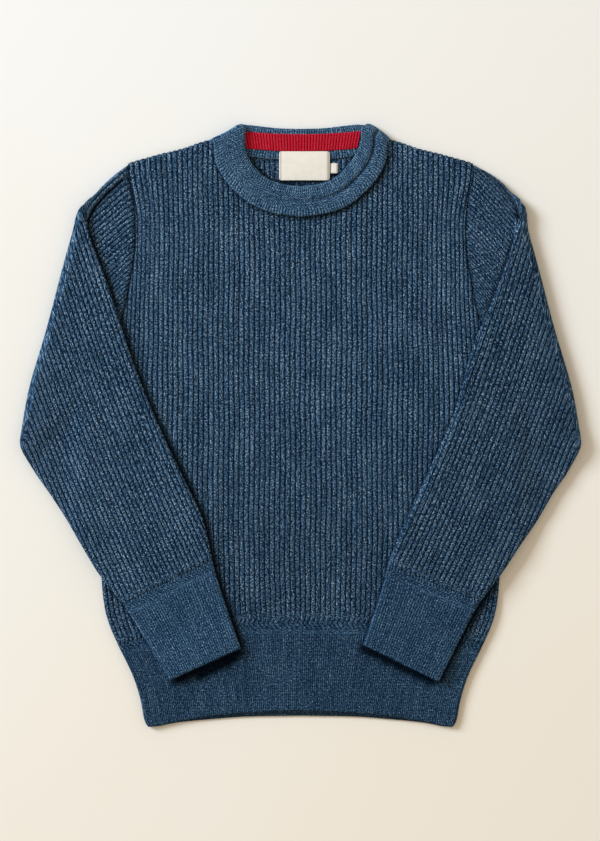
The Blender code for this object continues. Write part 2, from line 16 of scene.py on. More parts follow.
import bpy
import numpy as np
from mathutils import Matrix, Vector


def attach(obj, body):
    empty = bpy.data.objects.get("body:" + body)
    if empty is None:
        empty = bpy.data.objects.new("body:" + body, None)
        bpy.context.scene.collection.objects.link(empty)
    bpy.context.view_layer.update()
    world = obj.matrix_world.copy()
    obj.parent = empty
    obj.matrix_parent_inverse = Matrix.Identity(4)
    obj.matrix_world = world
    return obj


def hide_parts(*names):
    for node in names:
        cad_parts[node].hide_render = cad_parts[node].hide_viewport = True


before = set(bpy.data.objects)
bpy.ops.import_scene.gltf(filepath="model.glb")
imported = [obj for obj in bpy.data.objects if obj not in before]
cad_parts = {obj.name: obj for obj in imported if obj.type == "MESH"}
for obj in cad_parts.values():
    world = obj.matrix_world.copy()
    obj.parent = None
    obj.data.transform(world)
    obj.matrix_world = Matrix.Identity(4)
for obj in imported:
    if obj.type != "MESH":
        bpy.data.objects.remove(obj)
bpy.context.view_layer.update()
METRES_PER_MM = 0.001
ALONG_SHIFT = -2.7
print("solids to dress:", len(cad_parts))

# %% [markdown]
# ## Curves, blends and ribs
#
# A garment's outline is a soft curve through a few measured points. A Catmull-Rom curve passes through
# every point of its table and needs no handles, so one function serves side seams, armholes and sleeve
# edges alike. A chunky rib is a rounded ridge with a narrow groove beside it, so its section is one minus a
# power of the distance from the crest.


# %% Smooth curves through tables
def smooth(table, per_span=24):
    """Catmull-Rom through the rows: each span is the cubic that leaves a row along the line from the row
    before it to the row after it. Rows may be points or whole lines of points."""
    rows = np.array(table, float)
    ends = np.concatenate([2 * rows[:1] - rows[1:2], rows, 2 * rows[-1:] - rows[-2:-1]])
    before, start, stop, after = (ends[k : len(rows) - 1 + k, None] for k in range(4))
    t = np.linspace(0, 1, per_span, endpoint=False).reshape(1, -1, *[1] * (rows.ndim - 1))
    spans = start + t * (stop - before) / 2
    spans = spans + t**2 * (before - 2.5 * start + 2 * stop - after / 2)
    spans = spans + t**3 * (1.5 * (start - stop) + (after - before) / 2)
    return np.concatenate([spans.reshape(-1, *rows.shape[1:]), rows[-1:]])


def soft_step(share):
    """0 below 0, 1 above 1, and 3 s squared minus 2 s cubed between."""
    share = np.clip(share, 0, 1)
    return share * share * (3 - 2 * share)


def bell(distance, width):
    """e to the power of minus (distance / width) squared."""
    return np.exp(-((distance / width) ** 2))


def quarter_round(distance, radius):
    """Height share at a distance in from a rounded edge: a quarter circle of this radius, then 1."""
    share = np.clip(distance / radius, 0, 1)
    return np.sqrt(1 - (1 - share) ** 2)


def rib(phase):
    """Section of a rib: 0 in the groove, at whole phases, and 1 on the crest: 1 minus the cube of the
    distance from the crest."""
    return 1 - np.abs(2 * (phase % 1) - 1) ** 3


def lengths(line):
    """Distance of each point of a line from its start."""
    return np.concatenate([[0], np.cumsum(np.linalg.norm(np.diff(line, axis=0), axis=1))])


def beside(plan, line):
    """Distance of each point to the nearest straight piece of a line, below 0 on the right of the line's
    run."""
    line = np.asarray(line, float)
    start, run = line[:-1], np.diff(line, axis=0)
    offset = plan[..., None, :] - start
    share = np.clip((offset * run).sum(-1) / (run**2).sum(-1), 0, 1)
    away = np.linalg.norm(offset - share[..., None] * run, axis=-1)
    left = run[:, 0] * offset[..., 1] - run[:, 1] * offset[..., 0]
    nearest = away.argmin(-1)[..., None]
    sign = np.where(np.take_along_axis(left, nearest, -1) < 0, -1, 1)
    return (sign * np.take_along_axis(away, nearest, -1))[..., 0]


# %% [markdown]
# ## Closed shells
#
# Knitted cloth has a thickness, about 3 mm here, so each piece is a closed shell: a fine grid for the face,
# a coarse grid for the lining, and a strip of triangles zipped between their edges. Solidify would repeat
# the fine grid on the inside, which nobody sees, and double the triangles.


# %% Triangles between grids
def zip_up(first, first_at, second, second_at, turned):
    """Triangles between two lines of point numbers. The shares along both lines are merged in order, and
    each step forward on either line adds the triangle to the point reached on the other."""
    order = np.argsort(np.concatenate([first_at[1:], second_at[1:]]), kind="stable")
    on_first = order < len(first_at) - 1
    i, j = np.cumsum(on_first), np.cumsum(~on_first)
    third = np.where(on_first, first[i], second[j])
    corners = np.stack([first[i - on_first], third, second[j - ~on_first]], 1)
    return corners[:, ::-1] if turned else corners


def grid_triangles(numbers):
    """Two triangles for each cell of a grid of point numbers."""
    a, b = numbers[:-1, :-1].ravel(), numbers[:-1, 1:].ravel()
    c, d = numbers[1:, 1:].ravel(), numbers[1:, :-1].ravel()
    return np.concatenate([np.stack([a, b, c], 1), np.stack([a, c, d], 1)])


def shell_triangles(face_shape, lining_shape, rows_at, columns_at, lining_rows_at, lining_columns_at, tube):
    """Corners of a closed shell: the face's grid, the lining's grid turned over, and strips between their
    ends, and between their sides too unless it is a tube, whose sides close on themselves."""
    face = np.arange(np.prod(face_shape)).reshape(face_shape)
    lining = face.size + np.arange(np.prod(lining_shape)).reshape(lining_shape)
    if tube:
        face = np.concatenate([face, face[:, :1]], 1)
        lining = np.concatenate([lining, lining[:, :1]], 1)
        columns_at, lining_columns_at = [*columns_at, 1.0], [*lining_columns_at, 1.0]
    parts = [grid_triangles(face), grid_triangles(lining)[:, ::-1]]
    parts.append(zip_up(face[0], columns_at, lining[0], lining_columns_at, True))
    parts.append(zip_up(face[-1], columns_at, lining[-1], lining_columns_at, False))
    if not tube:
        parts.append(zip_up(face[:, 0], rows_at, lining[:, 0], lining_rows_at, False))
        parts.append(zip_up(face[:, -1], rows_at, lining[:, -1], lining_rows_at, True))
    return np.concatenate(parts)


# %% Arrays to a Blender mesh
def make_piece(name, points, corners, cloth, fields, material):
    """A mesh in metres from points in mm. Points that coincide are made one, triangles that collapsed are
    dropped, and all are turned over if the volume that they enclose comes out negative. cloth is each
    point's place on the cloth in mm, kept as a UV map, and fields are numbers at the points, kept as
    attributes."""
    _, first, number = np.unique(
        np.round(points, 3), axis=0, return_index=True, return_inverse=True
    )
    joined = number.reshape(-1)[corners]
    a, b, c = joined.T
    whole = (a != b) & (b != c) & (c != a)
    joined, corners = joined[whole], corners[whole]
    place = (points[first] + (0, ALONG_SHIFT, 0)) * METRES_PER_MM
    if np.linalg.det(place[joined]).sum() < 0:
        joined, corners = joined[:, ::-1], corners[:, ::-1]
    mesh = bpy.data.meshes.new(name)
    mesh.from_pydata(place.tolist(), [], joined.tolist())
    layer = mesh.uv_layers.new(name="cloth")
    layer.data.foreach_set("uv", cloth[corners].astype(np.float32).ravel())
    for field, values in fields.items():
        attribute = mesh.attributes.new(field, "FLOAT", "POINT")
        attribute.data.foreach_set("value", values[first].astype(np.float32))
    mesh.shade_smooth()
    mesh.materials.append(material)
    piece = bpy.data.objects.new(name, mesh)
    bpy.context.scene.collection.objects.link(piece)
    print(name, len(joined), "triangles, lowest", round(points[:, 2].min(), 2), "mm", flush=True)
    return piece


def shell(name, face, lining, shares, cloth, fields, material, tube=False, inside=None):
    """A closed shell from a grid of face points and one of lining points. shares are those down and across
    the face, then down and across the lining. The lining's place on the cloth is its plan, and its fields
    are 0 unless inside gives one a number."""
    corners = shell_triangles(face.shape[:2], lining.shape[:2], *shares, tube)
    points = np.concatenate([face.reshape(-1, 3), lining.reshape(-1, 3)])
    spare = lining.shape[0] * lining.shape[1]
    places = np.concatenate([cloth.reshape(-1, 2), lining.reshape(-1, 3)[:, :2]])
    numbers = {
        key: np.concatenate([grid.ravel(), np.full(spare, (inside or {}).get(key, 0.0))])
        for key, grid in fields.items()
    }
    return make_piece(name, points, corners, places, numbers, material)


def face_area(face):
    """Area of a grid of points in square metres: half the length of the cross product of each cell's two
    diagonals, summed."""
    one = face[1:, 1:] - face[:-1, :-1]
    two = face[1:, :-1] - face[:-1, 1:]
    return np.linalg.norm(np.cross(one, two), axis=-1).sum() / 2 * METRES_PER_MM**2


# %% [markdown]
# ## Soft troughs
#
# Heavy wool laid flat keeps few creases, and they are soft: a dimple beside the armhole, folds where the
# sleeves bunch above the cuffs and where the side gathers into the hem. Each is listed as a line with a
# width and a depth, and the cloth sinks towards it as a bell curve does.

# %% Creases
BODY_CREASES = (  # across and along of one end, then of the other, width, depth
    (-171.0, 262.0, -176.0, 176.0, 11.0, 0.8),
    (-150.0, 140.0, -128.0, 40.0, 16.0, 0.5),
    (60.0, 180.0, 84.0, 60.0, 20.0, 0.45),
    (-40.0, 110.0, -66.0, -30.0, 24.0, 0.4),
    (24.0, -40.0, 10.0, -170.0, 22.0, 0.4),
    (120.0, 40.0, 96.0, -60.0, 18.0, 0.5),
    (-96.0, -90.0, -70.0, -190.0, 14.0, 0.45),
    (150.0, 286.0, 172.0, 210.0, 15.0, 0.4),
    (-214.0, -196.0, -204.0, -236.0, 5.0, 1.3),
    (-226.0, -188.0, -221.0, -232.0, 4.0, 1.1),
    (-234.0, -150.0, -228.0, -205.0, 5.0, 0.8),
    (222.0, -190.0, 214.0, -240.0, 5.0, 1.1),
    (206.0, -204.0, 198.0, -236.0, 5.0, 0.8),
)
HEM_CREASES = (
    (-222.0, -258.0, -190.0, -262.0, 5.0, 1.0),
    (-190.0, -276.0, -150.0, -296.0, 9.0, 0.6),
    (-60.0, -262.0, 40.0, -268.0, 9.0, 0.4),
    (20.0, -300.0, 110.0, -306.0, 12.0, 0.35),
    (212.0, -262.0, 176.0, -270.0, 6.0, 0.8),
    (-120.0, -318.0, -40.0, -310.0, 12.0, 0.35),
)


def sunk(across, along, creases):
    """Depth of all the creases at a place: each is its depth times a bell of the distance to its line,
    divided by its width. The line's ends fade because the distance is to the nearest point of the line."""
    total = np.zeros(np.shape(across))
    for x0, y0, x1, y1, width, depth in creases:
        run = np.array([x1 - x0, y1 - y0])
        share = ((across - x0) * run[0] + (along - y0) * run[1]) / (run @ run)
        share = np.clip(share, 0.15, 0.85)
        away = np.hypot(across - x0 - share * run[0], along - y0 - share * run[1])
        total += depth * bell(away, width)
    return total


# %% [markdown]
# ## The wool's finish
#
# The yarn is a marl: dark navy and pale blue strands spun together, so single stitches come out light or
# dark. It is matt, and its loose hairs catch light at grazing angles, which sheen gives. In knitting each
# stitch is a V about 3.4 mm high, and the grooves between ribs hold almost no light, so they get painted
# shade, near black. The pattern is worked out on the cloth's own map in millimetres, so it bends with the
# ribs. Flecks are drawn about 1.5 mm long, a little coarser than the yarn's own hairs, which are too fine
# to show.
#
# Wool in a narrow gap is nearly black, and one soft light leaves it paler than the eye expects. So each
# point also keeps a painted shade: 0 in the open, and up to 1 where an edge lies over the cloth or the cloth
# dives into a seam. The same number paints the light falling off a little towards the hem and over the right
# sleeve and cuff, as it does on the real table.


# %% Colours and nodes
def linear(colour):
    """sRGB hex to linear RGBA: the standard's power 2.4 above its short straight start."""
    parts = np.array([int(colour[k : k + 2], 16) for k in (1, 3, 5)]) / 255
    low = parts / 12.92
    high = ((parts + 0.055) / 1.055) ** 2.4
    return (*np.where(parts <= 0.04045, low, high).tolist(), 1.0)


def node(material, kind, *values, stops=(), **named):
    """Adds one node and gives back its outputs. Values go to its inputs in order. A named value is a
    setting if its name is in small letters, and otherwise goes to the input with that identifier, _
    standing for a space. Another node's output is linked, and anything else is set. Stops are a ramp's
    places and colours."""
    made = material.node_tree.nodes.new("ShaderNode" + kind)
    names = [slot.identifier for slot in made.inputs]
    inputs = dict(enumerate(values))
    for key, value in named.items():
        if key.islower():
            setattr(made, key, value)
        else:
            inputs[names.index(key if key in names else key.replace("_", " "))] = value
    for number, value in inputs.items():
        if isinstance(value, bpy.types.NodeSocket):
            material.node_tree.links.new(value, made.inputs[number])
        else:
            made.inputs[number].default_value = value
    places = made.color_ramp.elements if stops else []
    while len(places) < len(stops):
        places.new(0.5)
    for place, (at, colour) in zip(places, stops, strict=True):
        place.position = at
        place.color = linear(colour)
    return made.outputs


def new_material(name, **constants):
    """An empty Principled material with its constant sockets set directly."""
    material = bpy.data.materials.new(name)
    material.use_nodes = True
    shader = material.node_tree.nodes["Principled BSDF"]
    for key, value in constants.items():
        shader.inputs[key.replace("_", " ")].default_value = value
    return material, shader


# %% Marled wool
STITCH = 3.4
FLECK, CLUMP = 1.5, 3.1
FLECK_SHARE, CLUMP_SHARE = 1.15, 0.4
RIB_SHARE, PATCH_SHARE, LOOP_SHARE = 0.14, 0.08, 0.02
MID_TONE = 0.42
RIB_APART, PATCH = 7.3, 0.02
# Painted shade in the grooves: where across a rib it begins, and where it is full.
GROOVE_SHADE_START, GROOVE_SHADE_STOP = 0.5, 0.92
LOOP_BUMP, BUMP_STRENGTH, BUMP_DISTANCE = 0.08, 0.8, 0.0008
MARL = (
    (0.35, "#0b1724"),
    (0.47, "#1a2f46"),
    (0.56, "#31506e"),
    (0.65, "#557a98"),
    (0.79, "#a6bfd1"),
)
# The near-black navy of the painted shade in grooves and folds, and the sheen's pale blue tint.
PAINTED_SHADE_NAVY, SHEEN_BLUE = "#040b15", "#a9c4d8"


def marled_wool(name, arm, groove, marl=MARL, contrast=1.0, light=0.0, dark=PAINTED_SHADE_NAVY):
    """Marled wool in a rib. The rib attribute gives the place across the ribs, relief how strongly they
    show, and the third attribute paints shade: up to 1 where the cloth dives into a fold or a seam, lies
    under an edge, or the light falls off.

    away is 0 on a rib's crest and 1 in its groove. A stitch's arms rise towards the groove by arm mm, so
    the pattern's height on the cloth is the along place plus arm times away. Flecks of two sizes are mixed,
    and each rib is a little lighter or darker than the next. The grooves get painted shade, as strongly as
    groove says, and they and the painted shade mix the colour towards a near-black shade colour.
    """
    material, shader = new_material(
        name,
        Roughness=0.95,
        Specular_IOR_Level=0.0,
        Sheen_Weight=0.01,
        Sheen_Roughness=0.5,
        Sheen_Tint=linear(SHEEN_BLUE),
    )
    add = functools.partial(node, material)
    place = add("UVMap", uv_map="cloth")[0]
    parts = add("SeparateXYZ", place)
    phase, relief, painted_shade = (
        add("Attribute", attribute_name=field)["Fac"] for field in ("rib", "relief", "painted_shade")
    )
    across_rib = add("Math", phase, operation="FRACT")[0]
    from_crest = add("Math", across_rib, 2.0, -1.0, operation="MULTIPLY_ADD")[0]
    away = add("Math", from_crest, operation="ABSOLUTE")[0]
    height = add("Math", away, -arm, parts[1], operation="MULTIPLY_ADD")[0]
    leaning = add("CombineXYZ", parts[0], height, 0.0)[0]
    rib_number = add("Math", phase, operation="FLOOR")[0]
    rib_place = add("Math", rib_number, RIB_APART, operation="MULTIPLY")[0]
    patch_place = add("Math", parts[1], PATCH, operation="MULTIPLY")[0]
    slow = add("CombineXYZ", rib_place, patch_place, 0.0)[0]
    fleck, clump, by_rib, patch = (
        add("TexNoise", where, Scale=scale, Detail=detail, Roughness=0.6)[0]
        for where, scale, detail in (
            (leaning, 1 / FLECK, 1.0),
            (leaning, 1 / CLUMP, 1.0),
            (slow, 1.0, 1.0),
            (place, PATCH, 2.0),
        )
    )
    round_loop = add("Math", height, 2 * np.pi / STITCH, operation="MULTIPLY")[0]
    loop = add("Math", round_loop, operation="SINE")[0]
    tone = MID_TONE + light - contrast * (FLECK_SHARE + CLUMP_SHARE) / 2
    for part, share in (
        (fleck, FLECK_SHARE * contrast),
        (clump, CLUMP_SHARE * contrast),
        (by_rib, RIB_SHARE),
        (patch, PATCH_SHARE),
        (loop, LOOP_SHARE),
    ):
        tone = add("Math", part, share, tone, operation="MULTIPLY_ADD")[0]
    colour = add("ValToRGB", tone, stops=marl)[0]
    # Grooves get painted shade, near black, as strongly as groove and relief say, and the painted shade
    # attribute darkens further where it is higher.
    ends = {"From_Min": GROOVE_SHADE_START, "From_Max": GROOVE_SHADE_STOP}
    shade = add("MapRange", away, interpolation_type="SMOOTHSTEP", **ends)[0]
    for part, operation in ((relief, "MULTIPLY"), (groove, "MULTIPLY"), (painted_shade, "MAXIMUM")):
        shade = add("Math", shade, part, operation=operation)[0]
    mixed = add("Mix", shade, data_type="RGBA", A_Color=colour, B_Color=linear(dark))[2]
    body = add("Math", loop, LOOP_BUMP, fleck, operation="MULTIPLY_ADD")[0]
    bump = add("Bump", Height=body, Strength=BUMP_STRENGTH, Distance=BUMP_DISTANCE)[0]
    material.node_tree.links.new(mixed, shader.inputs["Base Color"])
    material.node_tree.links.new(bump, shader.inputs["Normal"])
    return material


chunky_wool = marled_wool("marled_wool_chunky_rib", arm=2.6, groove=0.92, contrast=0.95, light=0.004)
fine_wool = marled_wool("marled_wool_fine_rib", arm=1.1, groove=0.8, contrast=0.6, light=0.018)
band_wool = marled_wool("marled_wool_neckband", arm=0.4, groove=0.9, contrast=0.55, light=0.06)

# %% [markdown]
# ## Body panels
#
# The front and the back are knitted flat in a rib of 78 ridges across, sewn at the shoulders and the sides
# and into the armholes. A rib can't stop at a curved armhole, so it is cut off there, and the ones that
# pass beside it lean with it. The grid has one column for each eighth of a rib. Its rows are close together
# at the hem, where the ribs bend into a row of slanted stitches, and across the shoulders, where the panel
# rolls over to the seam.

# %% Driving sizes of the body
WALL, HOLLOW = 3.2, 1.2  # the cloth's thickness, and the gap between its two layers
MID_HEIGHT = WALL + HOLLOW / 2
SEAM_GAP = 0.3  # keeps pieces that are sewn together from touching
RIB_TOP, RIB_BOTTOM = 0.9, -0.55  # crest and groove, off the cloth's face
SHOULDER_BUMP = 1.6  # how far a rib's end sticks out at the shoulder's seam, times its height
HALF_CHEST = 239.4
BODY_RIBS = 78
UNDERARM = (HALF_CHEST, 68.4)
NECK_SIDE, SHOULDER_TOP = 105.2, 345.4
# The hem's join: its middle, how far it has dipped at a distance across, and the power that the dip
# follows.
JOIN_ALONG, JOIN_DROP, JOIN_ACROSS, JOIN_POWER = -231.5, 28.0, 219.5, 2.4
# Ribs lean out towards the shoulder: where that starts, over what length, how much and how far out.
LEAN_START, LEAN_RUN, LEAN_SHARE, LEAN_ACROSS, LEAN_POWER = 238.0, 78.0, 0.045, 198.0, 6
PULL, PULL_POWER = 0.5, 6  # share of the armhole's depth by which the last ribs are pulled in
UNDERARM_BLEND = 16.0  # length over which the rolled side gives way to the armhole's seam
BAND_LAP, PLAN_GAP = 3.0, 0.45  # the front runs on under the neckband, and the back stops short of it
SIDE_SEAM = (  # along, across
    (-362.0, 178.0),
    (-358.0, 184.0),
    (-349.0, 188.0),
    (-325.0, 192.6),
    (-296.4, 202.0),
    (-260.0, 219.5),
    (-234.0, 230.5),
    (-211.0, 236.0),
    (-180.0, 239.0),
    (-150.0, HALF_CHEST),
    UNDERARM[::-1],
)
ARMHOLE = (  # across, along, from the shoulder to the underarm
    (207.0, 315.0),
    (206.0, 298.0),
    (200.5, 274.0),
    (198.0, 238.0),
    (199.5, 204.0),
    (204.5, 176.0),
    (209.5, 149.0),
    (214.0, 132.0),
    (225.0, 100.0),
    UNDERARM,
)
SHOULDER = (  # across, along
    (0.0, 372.0),
    (108.6, 344.5),
    (140.0, 334.2),
    (169.0, 326.8),
    (207.0, 315.0),
    (239.4, 304.5),
)
BAND_FRONT = (  # seam across, seam along, free across, free along, seam height, free height
    (0.0, 252.0, 0.0, 289.6, 11.7, 8.6),
    (32.7, 256.8, 20.7, 291.8, 11.7, 8.6),
    (53.0, 264.0, 37.8, 298.0, 11.7, 8.8),
    (67.8, 273.6, 51.4, 308.8, 11.7, 9.2),
    (84.6, 289.2, 61.0, 321.0, 11.7, 9.9),
    (97.5, 307.5, 65.6, 332.4, 11.7, 10.8),
    (104.0, 325.0, 67.2, 346.0, 11.7, 11.5),
)
BAND_SEAM_END = (104.2, 340.1)
BAND_CORNER = (*BAND_SEAM_END, 68.7, 360.1)
BAND_BACK = (  # seam across, seam along, free across, free along
    (93.0, 332.0, 67.0, 363.8),
    (60.0, 324.5, 50.0, 362.0),
    (30.0, 321.5, 27.0, 359.4),
    (0.0, 321.0, 0.0, 358.6),
)


# %% Outlines of the body
SIDE_CURVE = smooth(SIDE_SEAM)
ARMHOLE_CURVE = smooth(ARMHOLE)[::-1]
SHOULDER_CURVE = smooth(SHOULDER)


def side(along):
    """Distance across to the side seam."""
    return np.interp(along, SIDE_CURVE[:, 0], SIDE_CURVE[:, 1])


def shoulder(across):
    """How far along the shoulder's seam lies at a place across."""
    return np.interp(np.abs(across), SHOULDER_CURVE[:, 0], SHOULDER_CURVE[:, 1])


def edge_of_body(along):
    """Distance across to the side seam, or to the armhole above the underarm."""
    armhole = np.interp(along, ARMHOLE_CURVE[:, 1], ARMHOLE_CURVE[:, 0])
    return np.where(along > UNDERARM[1], armhole, side(along))


def join_line(shares):
    """Across and along of the hem's join, which dips towards the sides as a power of the distance across."""
    across = shares * HALF_CHEST
    for _ in range(12):
        along = JOIN_ALONG - JOIN_DROP * (np.abs(across) / JOIN_ACROSS) ** JOIN_POWER
        across = shares * side(along)
    return across, along


def side_roll(along):
    """1 where the side edge rolls over to its seam, and 0 where the sleeve is sewn on."""
    return soft_step((UNDERARM[1] - along) / UNDERARM_BLEND + 0.5)


def neckline(table, offset):
    """The neckband's seam edge moved up by offset along its own square direction, in order across."""
    curve = smooth([row[:2] for row in table])
    heading = np.gradient(curve, axis=0)
    heading /= np.linalg.norm(heading, axis=1)[:, None]
    moved = curve + offset * np.stack([heading[:, 1], -heading[:, 0]], 1)
    return np.vstack([moved[np.argsort(moved[:, 0])], [(NECK_SIDE, SHOULDER_TOP)]])


FRONT_NECK = neckline([*BAND_FRONT, BAND_CORNER], -BAND_LAP)
BACK_NECK = neckline([*BAND_BACK[::-1], BAND_CORNER], PLAN_GAP)
print("front neck depth", round(SHOULDER_TOP - FRONT_NECK[:, 1].min(), 1), "mm")


# %% Plan of a body panel
def body_plan(shares, rows, neck, inset=0.0):
    """Across and along of a panel's grid. A row's share runs from the hem's join to the shoulder, cut off
    at the neckline. Across is the share of the chest, scaled to the side seam, leaned out at the shoulder,
    pulled in beside the armhole by a power of the share, and cut off at the armhole."""
    start = shares * HALF_CHEST
    bottom = join_line(shares)[1]
    cut = np.where(
        np.abs(start) < NECK_SIDE, np.interp(np.abs(start), neck[:, 0], neck[:, 1]), np.inf
    )
    along = np.minimum(bottom + rows[:, None] * (shoulder(start) - inset - bottom), cut)
    limit = edge_of_body(along)
    outer = np.clip(np.abs(start) / LEAN_ACROSS, 0, 1) ** LEAN_POWER
    lean = 1 + LEAN_SHARE * soft_step((along - LEAN_START) / LEAN_RUN) * outer
    across = start * side(along) / HALF_CHEST * lean
    across = across - PULL * (HALF_CHEST - limit) * shares * np.abs(shares) ** (PULL_POWER - 1) * (
        along > UNDERARM[1]
    )
    inner = limit - inset * side_roll(along)
    return np.clip(across, -inner, inner), along


# %% Rows and columns
FINE_STEP = 0.9
CHUNKY_PITCH = 6.14
# The slanted stitches start above a join, carry on past it and then lean back, by these lengths. A lean is
# in mm across for each mm along.
STROKE_ABOVE, STROKE_PAST, STROKE_BELOW = 3.2, 3.1, 8.4
UPPER_LEAN, LOWER_LEAN = 0.5, 0.95
DRAWN_IN, DRAWN_AT, DRAWN_WIDE = 0.4, 1.5, 1.8


def across_shares(steps, edge, spared):
    """Shares across a panel: even steps, with the spared ones at each side giving way to the rolled edge."""
    even = np.linspace(-1, 1, steps + 1)
    return np.concatenate([-np.array(edge)[::-1], even[spared:-spared], edge])


def body_rows(step):
    """Shares up a panel of about 576 mm: close together in the slanted stitches, then a step apart, and
    fine again in the shoulder's roll."""
    length = SHOULDER_TOP - JOIN_ALONG
    fine_stop = STROKE_ABOVE + 3
    slanted = np.arange(0, fine_stop, FINE_STEP) / length
    plain = np.arange(fine_stop + step, length - 8, step) / length
    rolled = np.array([0.9885, 0.9925, 0.9955, 0.9975, 0.9988, 0.9996, 1])
    return np.concatenate([slanted, plain, rolled])


def above_join(up):
    """Share of the ribs' relief that is left at a distance above a join, where the pick-up row draws the
    ribs together: 1 minus a bell just above the slanted stitches."""
    return 1 - DRAWN_IN * bell(up - STROKE_ABOVE - DRAWN_AT, DRAWN_WIDE)


def rib_wobble(across, along):
    """Hand-laid ribs aren't quite straight: two slow waves along them, in mm across."""
    return 0.55 * np.sin(along / 31 + across / 47) + 0.3 * np.sin(along / 13.7 - across / 19)


def slow_waves(across, along):
    """Sag of cloth that was smoothed by hand: the product of two slow waves, 0 at most."""
    return 0.35 * (np.sin(across / 41 + along / 83) * np.sin(along / 57 - across / 90) - 1)


# %% Face of a body panel
PRESSED = (-182.0, 228.0, 10.0, 48.0, 0.4)  # across, along, width, length and share that is pressed flat
ARMHOLE_START = UNDERARM[1] + 4.0
ARMHOLE_DIP, ARMHOLE_DIP_WIDE = 0.9, 2.2
# Painted shade along the armhole seam: its darkness and width.
SEAM_SHADE, SEAM_SHADE_WIDE = 0.75, 1.3
CREASE_SHARE = 0.8
PRESSED_RIB = 0.9
# Painted falloff of the light down the front: how dark it gets, where along it starts and over what length.
LOW_PAINTED_FALLOFF, FALLOFF_START, FALLOFF_RUN = 0.2, 60.0, 220.0
# Painted shadows beside the sleeves' edges and the cuffs' ends, where they lie over the cloth.
SHADES = (  # line's points, width, darkness: where the cloth lies in the shade under an edge
    (((-250, 222), (-226, 158), (-202, 82), (-171, 5)), 5.6, 0.88),
    (((-171, 5), (-140, -60), (-117, -110), (-105.6, -158.4), (-97, -190), (-71.4, -263)), 7.0, 0.95),
    (((-74, -270), (-92, -279), (-120, -291)), 11.0, 0.985),
    (((-78, -277), (-94, -286), (-122, -299)), 8.0, 0.985),
    (((-120, -290), (-150, -304)), 9.5, 0.985),
    (((-183, -255), (-197, -236), (-213, -211), (-226, -195)), 4.2, 0.9),
    (((252, 215), (233, 160), (206, 95), (183, 15), (152, -55), (122, -120), (104.6, -164)), 3.4, 0.6),
    (((104.6, -164), (97, -195), (75.2, -260)), 3.6, 0.7),
    (((76, -265), (114, -284), (157, -304)), 9.5, 0.985),
    (((165, -303), (201, -235), (216, -210), (232, -185)), 8.0, 0.95),
)


def shaded(across, along, shades):
    """Painted shadow at a place: the greatest of each line's darkness times a bell of the distance to it, over
    its width. Wool in such shade is nearly black, because the little light that gets in isn't reflected
    out."""
    plan = np.stack([across, along], -1)
    return np.max([dark * bell(beside(plan, line), width) for line, width, dark in shades], 0)


def mirrored_line(curve, sign):
    """About 16 points of a curve, on the side of the body that the sign gives."""
    return curve[:: len(curve) // 16, :2] * (sign, 1)


# Painted shadow under the neckband's seam edge, wider and darker on the right.
SEAM_LINE = smooth([row[:2] for row in BAND_FRONT])
NECK_SHADES = ((mirrored_line(SEAM_LINE, 1), 4.0, 0.93), (mirrored_line(SEAM_LINE, -1), 2.8, 0.75))


def body_face(shares, rows, neck, sign):
    """The outer face: height rises from the side and shoulder seams as a quarter circle, and the ribs stand
    on it. The front's ribs rise off the cloth, and the back's are pressed flat on the table."""
    across, along = body_plan(shares, rows, neck)
    from_side = np.maximum(edge_of_body(along) - np.abs(across), 0)
    from_top = np.where(
        np.abs(across) > NECK_SIDE, np.maximum(shoulder(across) - along, 0), MID_HEIGHT
    )
    roll_side = 1 - side_roll(along) * (1 - quarter_round(from_side, MID_HEIGHT))
    roll_top = quarter_round(from_top, MID_HEIGHT)
    up = along - join_line(shares)[1]
    phase = (shares + 1) * BODY_RIBS / 2 + 0 * along
    bend = UPPER_LEAN * np.maximum(STROKE_ABOVE - up, 0)
    phase = phase + (bend + rib_wobble(across, along)) / CHUNKY_PITCH
    px, py, wide, tall, share = PRESSED
    relief = 1 - share * bell(across - px, wide) * bell(along - py, tall)
    relief = relief * above_join(up)
    on_armhole = along > ARMHOLE_START
    ridge = (RIB_BOTTOM + (RIB_TOP - RIB_BOTTOM) * rib(phase)) * relief
    if sign > 0:
        ridge = ridge - CREASE_SHARE * sunk(across, along, BODY_CREASES) + slow_waves(across, along)
        ridge = ridge - ARMHOLE_DIP * bell(from_side, ARMHOLE_DIP_WIDE) * on_armhole
    else:
        ridge = (rib(phase) - 1) * PRESSED_RIB
    lift = (MID_HEIGHT - SEAM_GAP / 2) * roll_side * roll_top
    height = MID_HEIGHT + sign * (SEAM_GAP / 2 + lift + ridge * roll_top * roll_side)
    top_ridge = SHOULDER_BUMP * RIB_TOP * rib(phase) * (1 - roll_top) * (sign > 0)
    face = np.stack([across, along + top_ridge, height], -1)
    # Painted shade along the armhole seam; on the front also painted shadows under the sleeves, cuffs and
    # neckband, and a painted falloff of the light towards the hem.
    painted_shade = SEAM_SHADE * bell(from_side, SEAM_SHADE_WIDE) * on_armhole
    if sign > 0:
        painted_shade = np.maximum(painted_shade, shaded(across, along, [*SHADES, *NECK_SHADES]))
        painted_shade = np.maximum(painted_shade, LOW_PAINTED_FALLOFF * soft_step((FALLOFF_START - along) / FALLOFF_RUN))
    return face, phase, relief * roll_side, painted_shade


def body_lining(shares, rows, neck, sign):
    """The plain inner face, a wall's thickness inside the rolled edges."""
    across, along = body_plan(shares, rows, neck, WALL)
    height = np.full(across.shape, MID_HEIGHT + sign * HOLLOW / 2)
    at_side = (np.abs(shares) == 1) & (along < UNDERARM[1])
    at_top = (rows[:, None] == 1) & (np.abs(across) > NECK_SIDE)
    height[at_side | at_top] = MID_HEIGHT + sign * SEAM_GAP / 2
    return np.stack([across, along, height], -1)


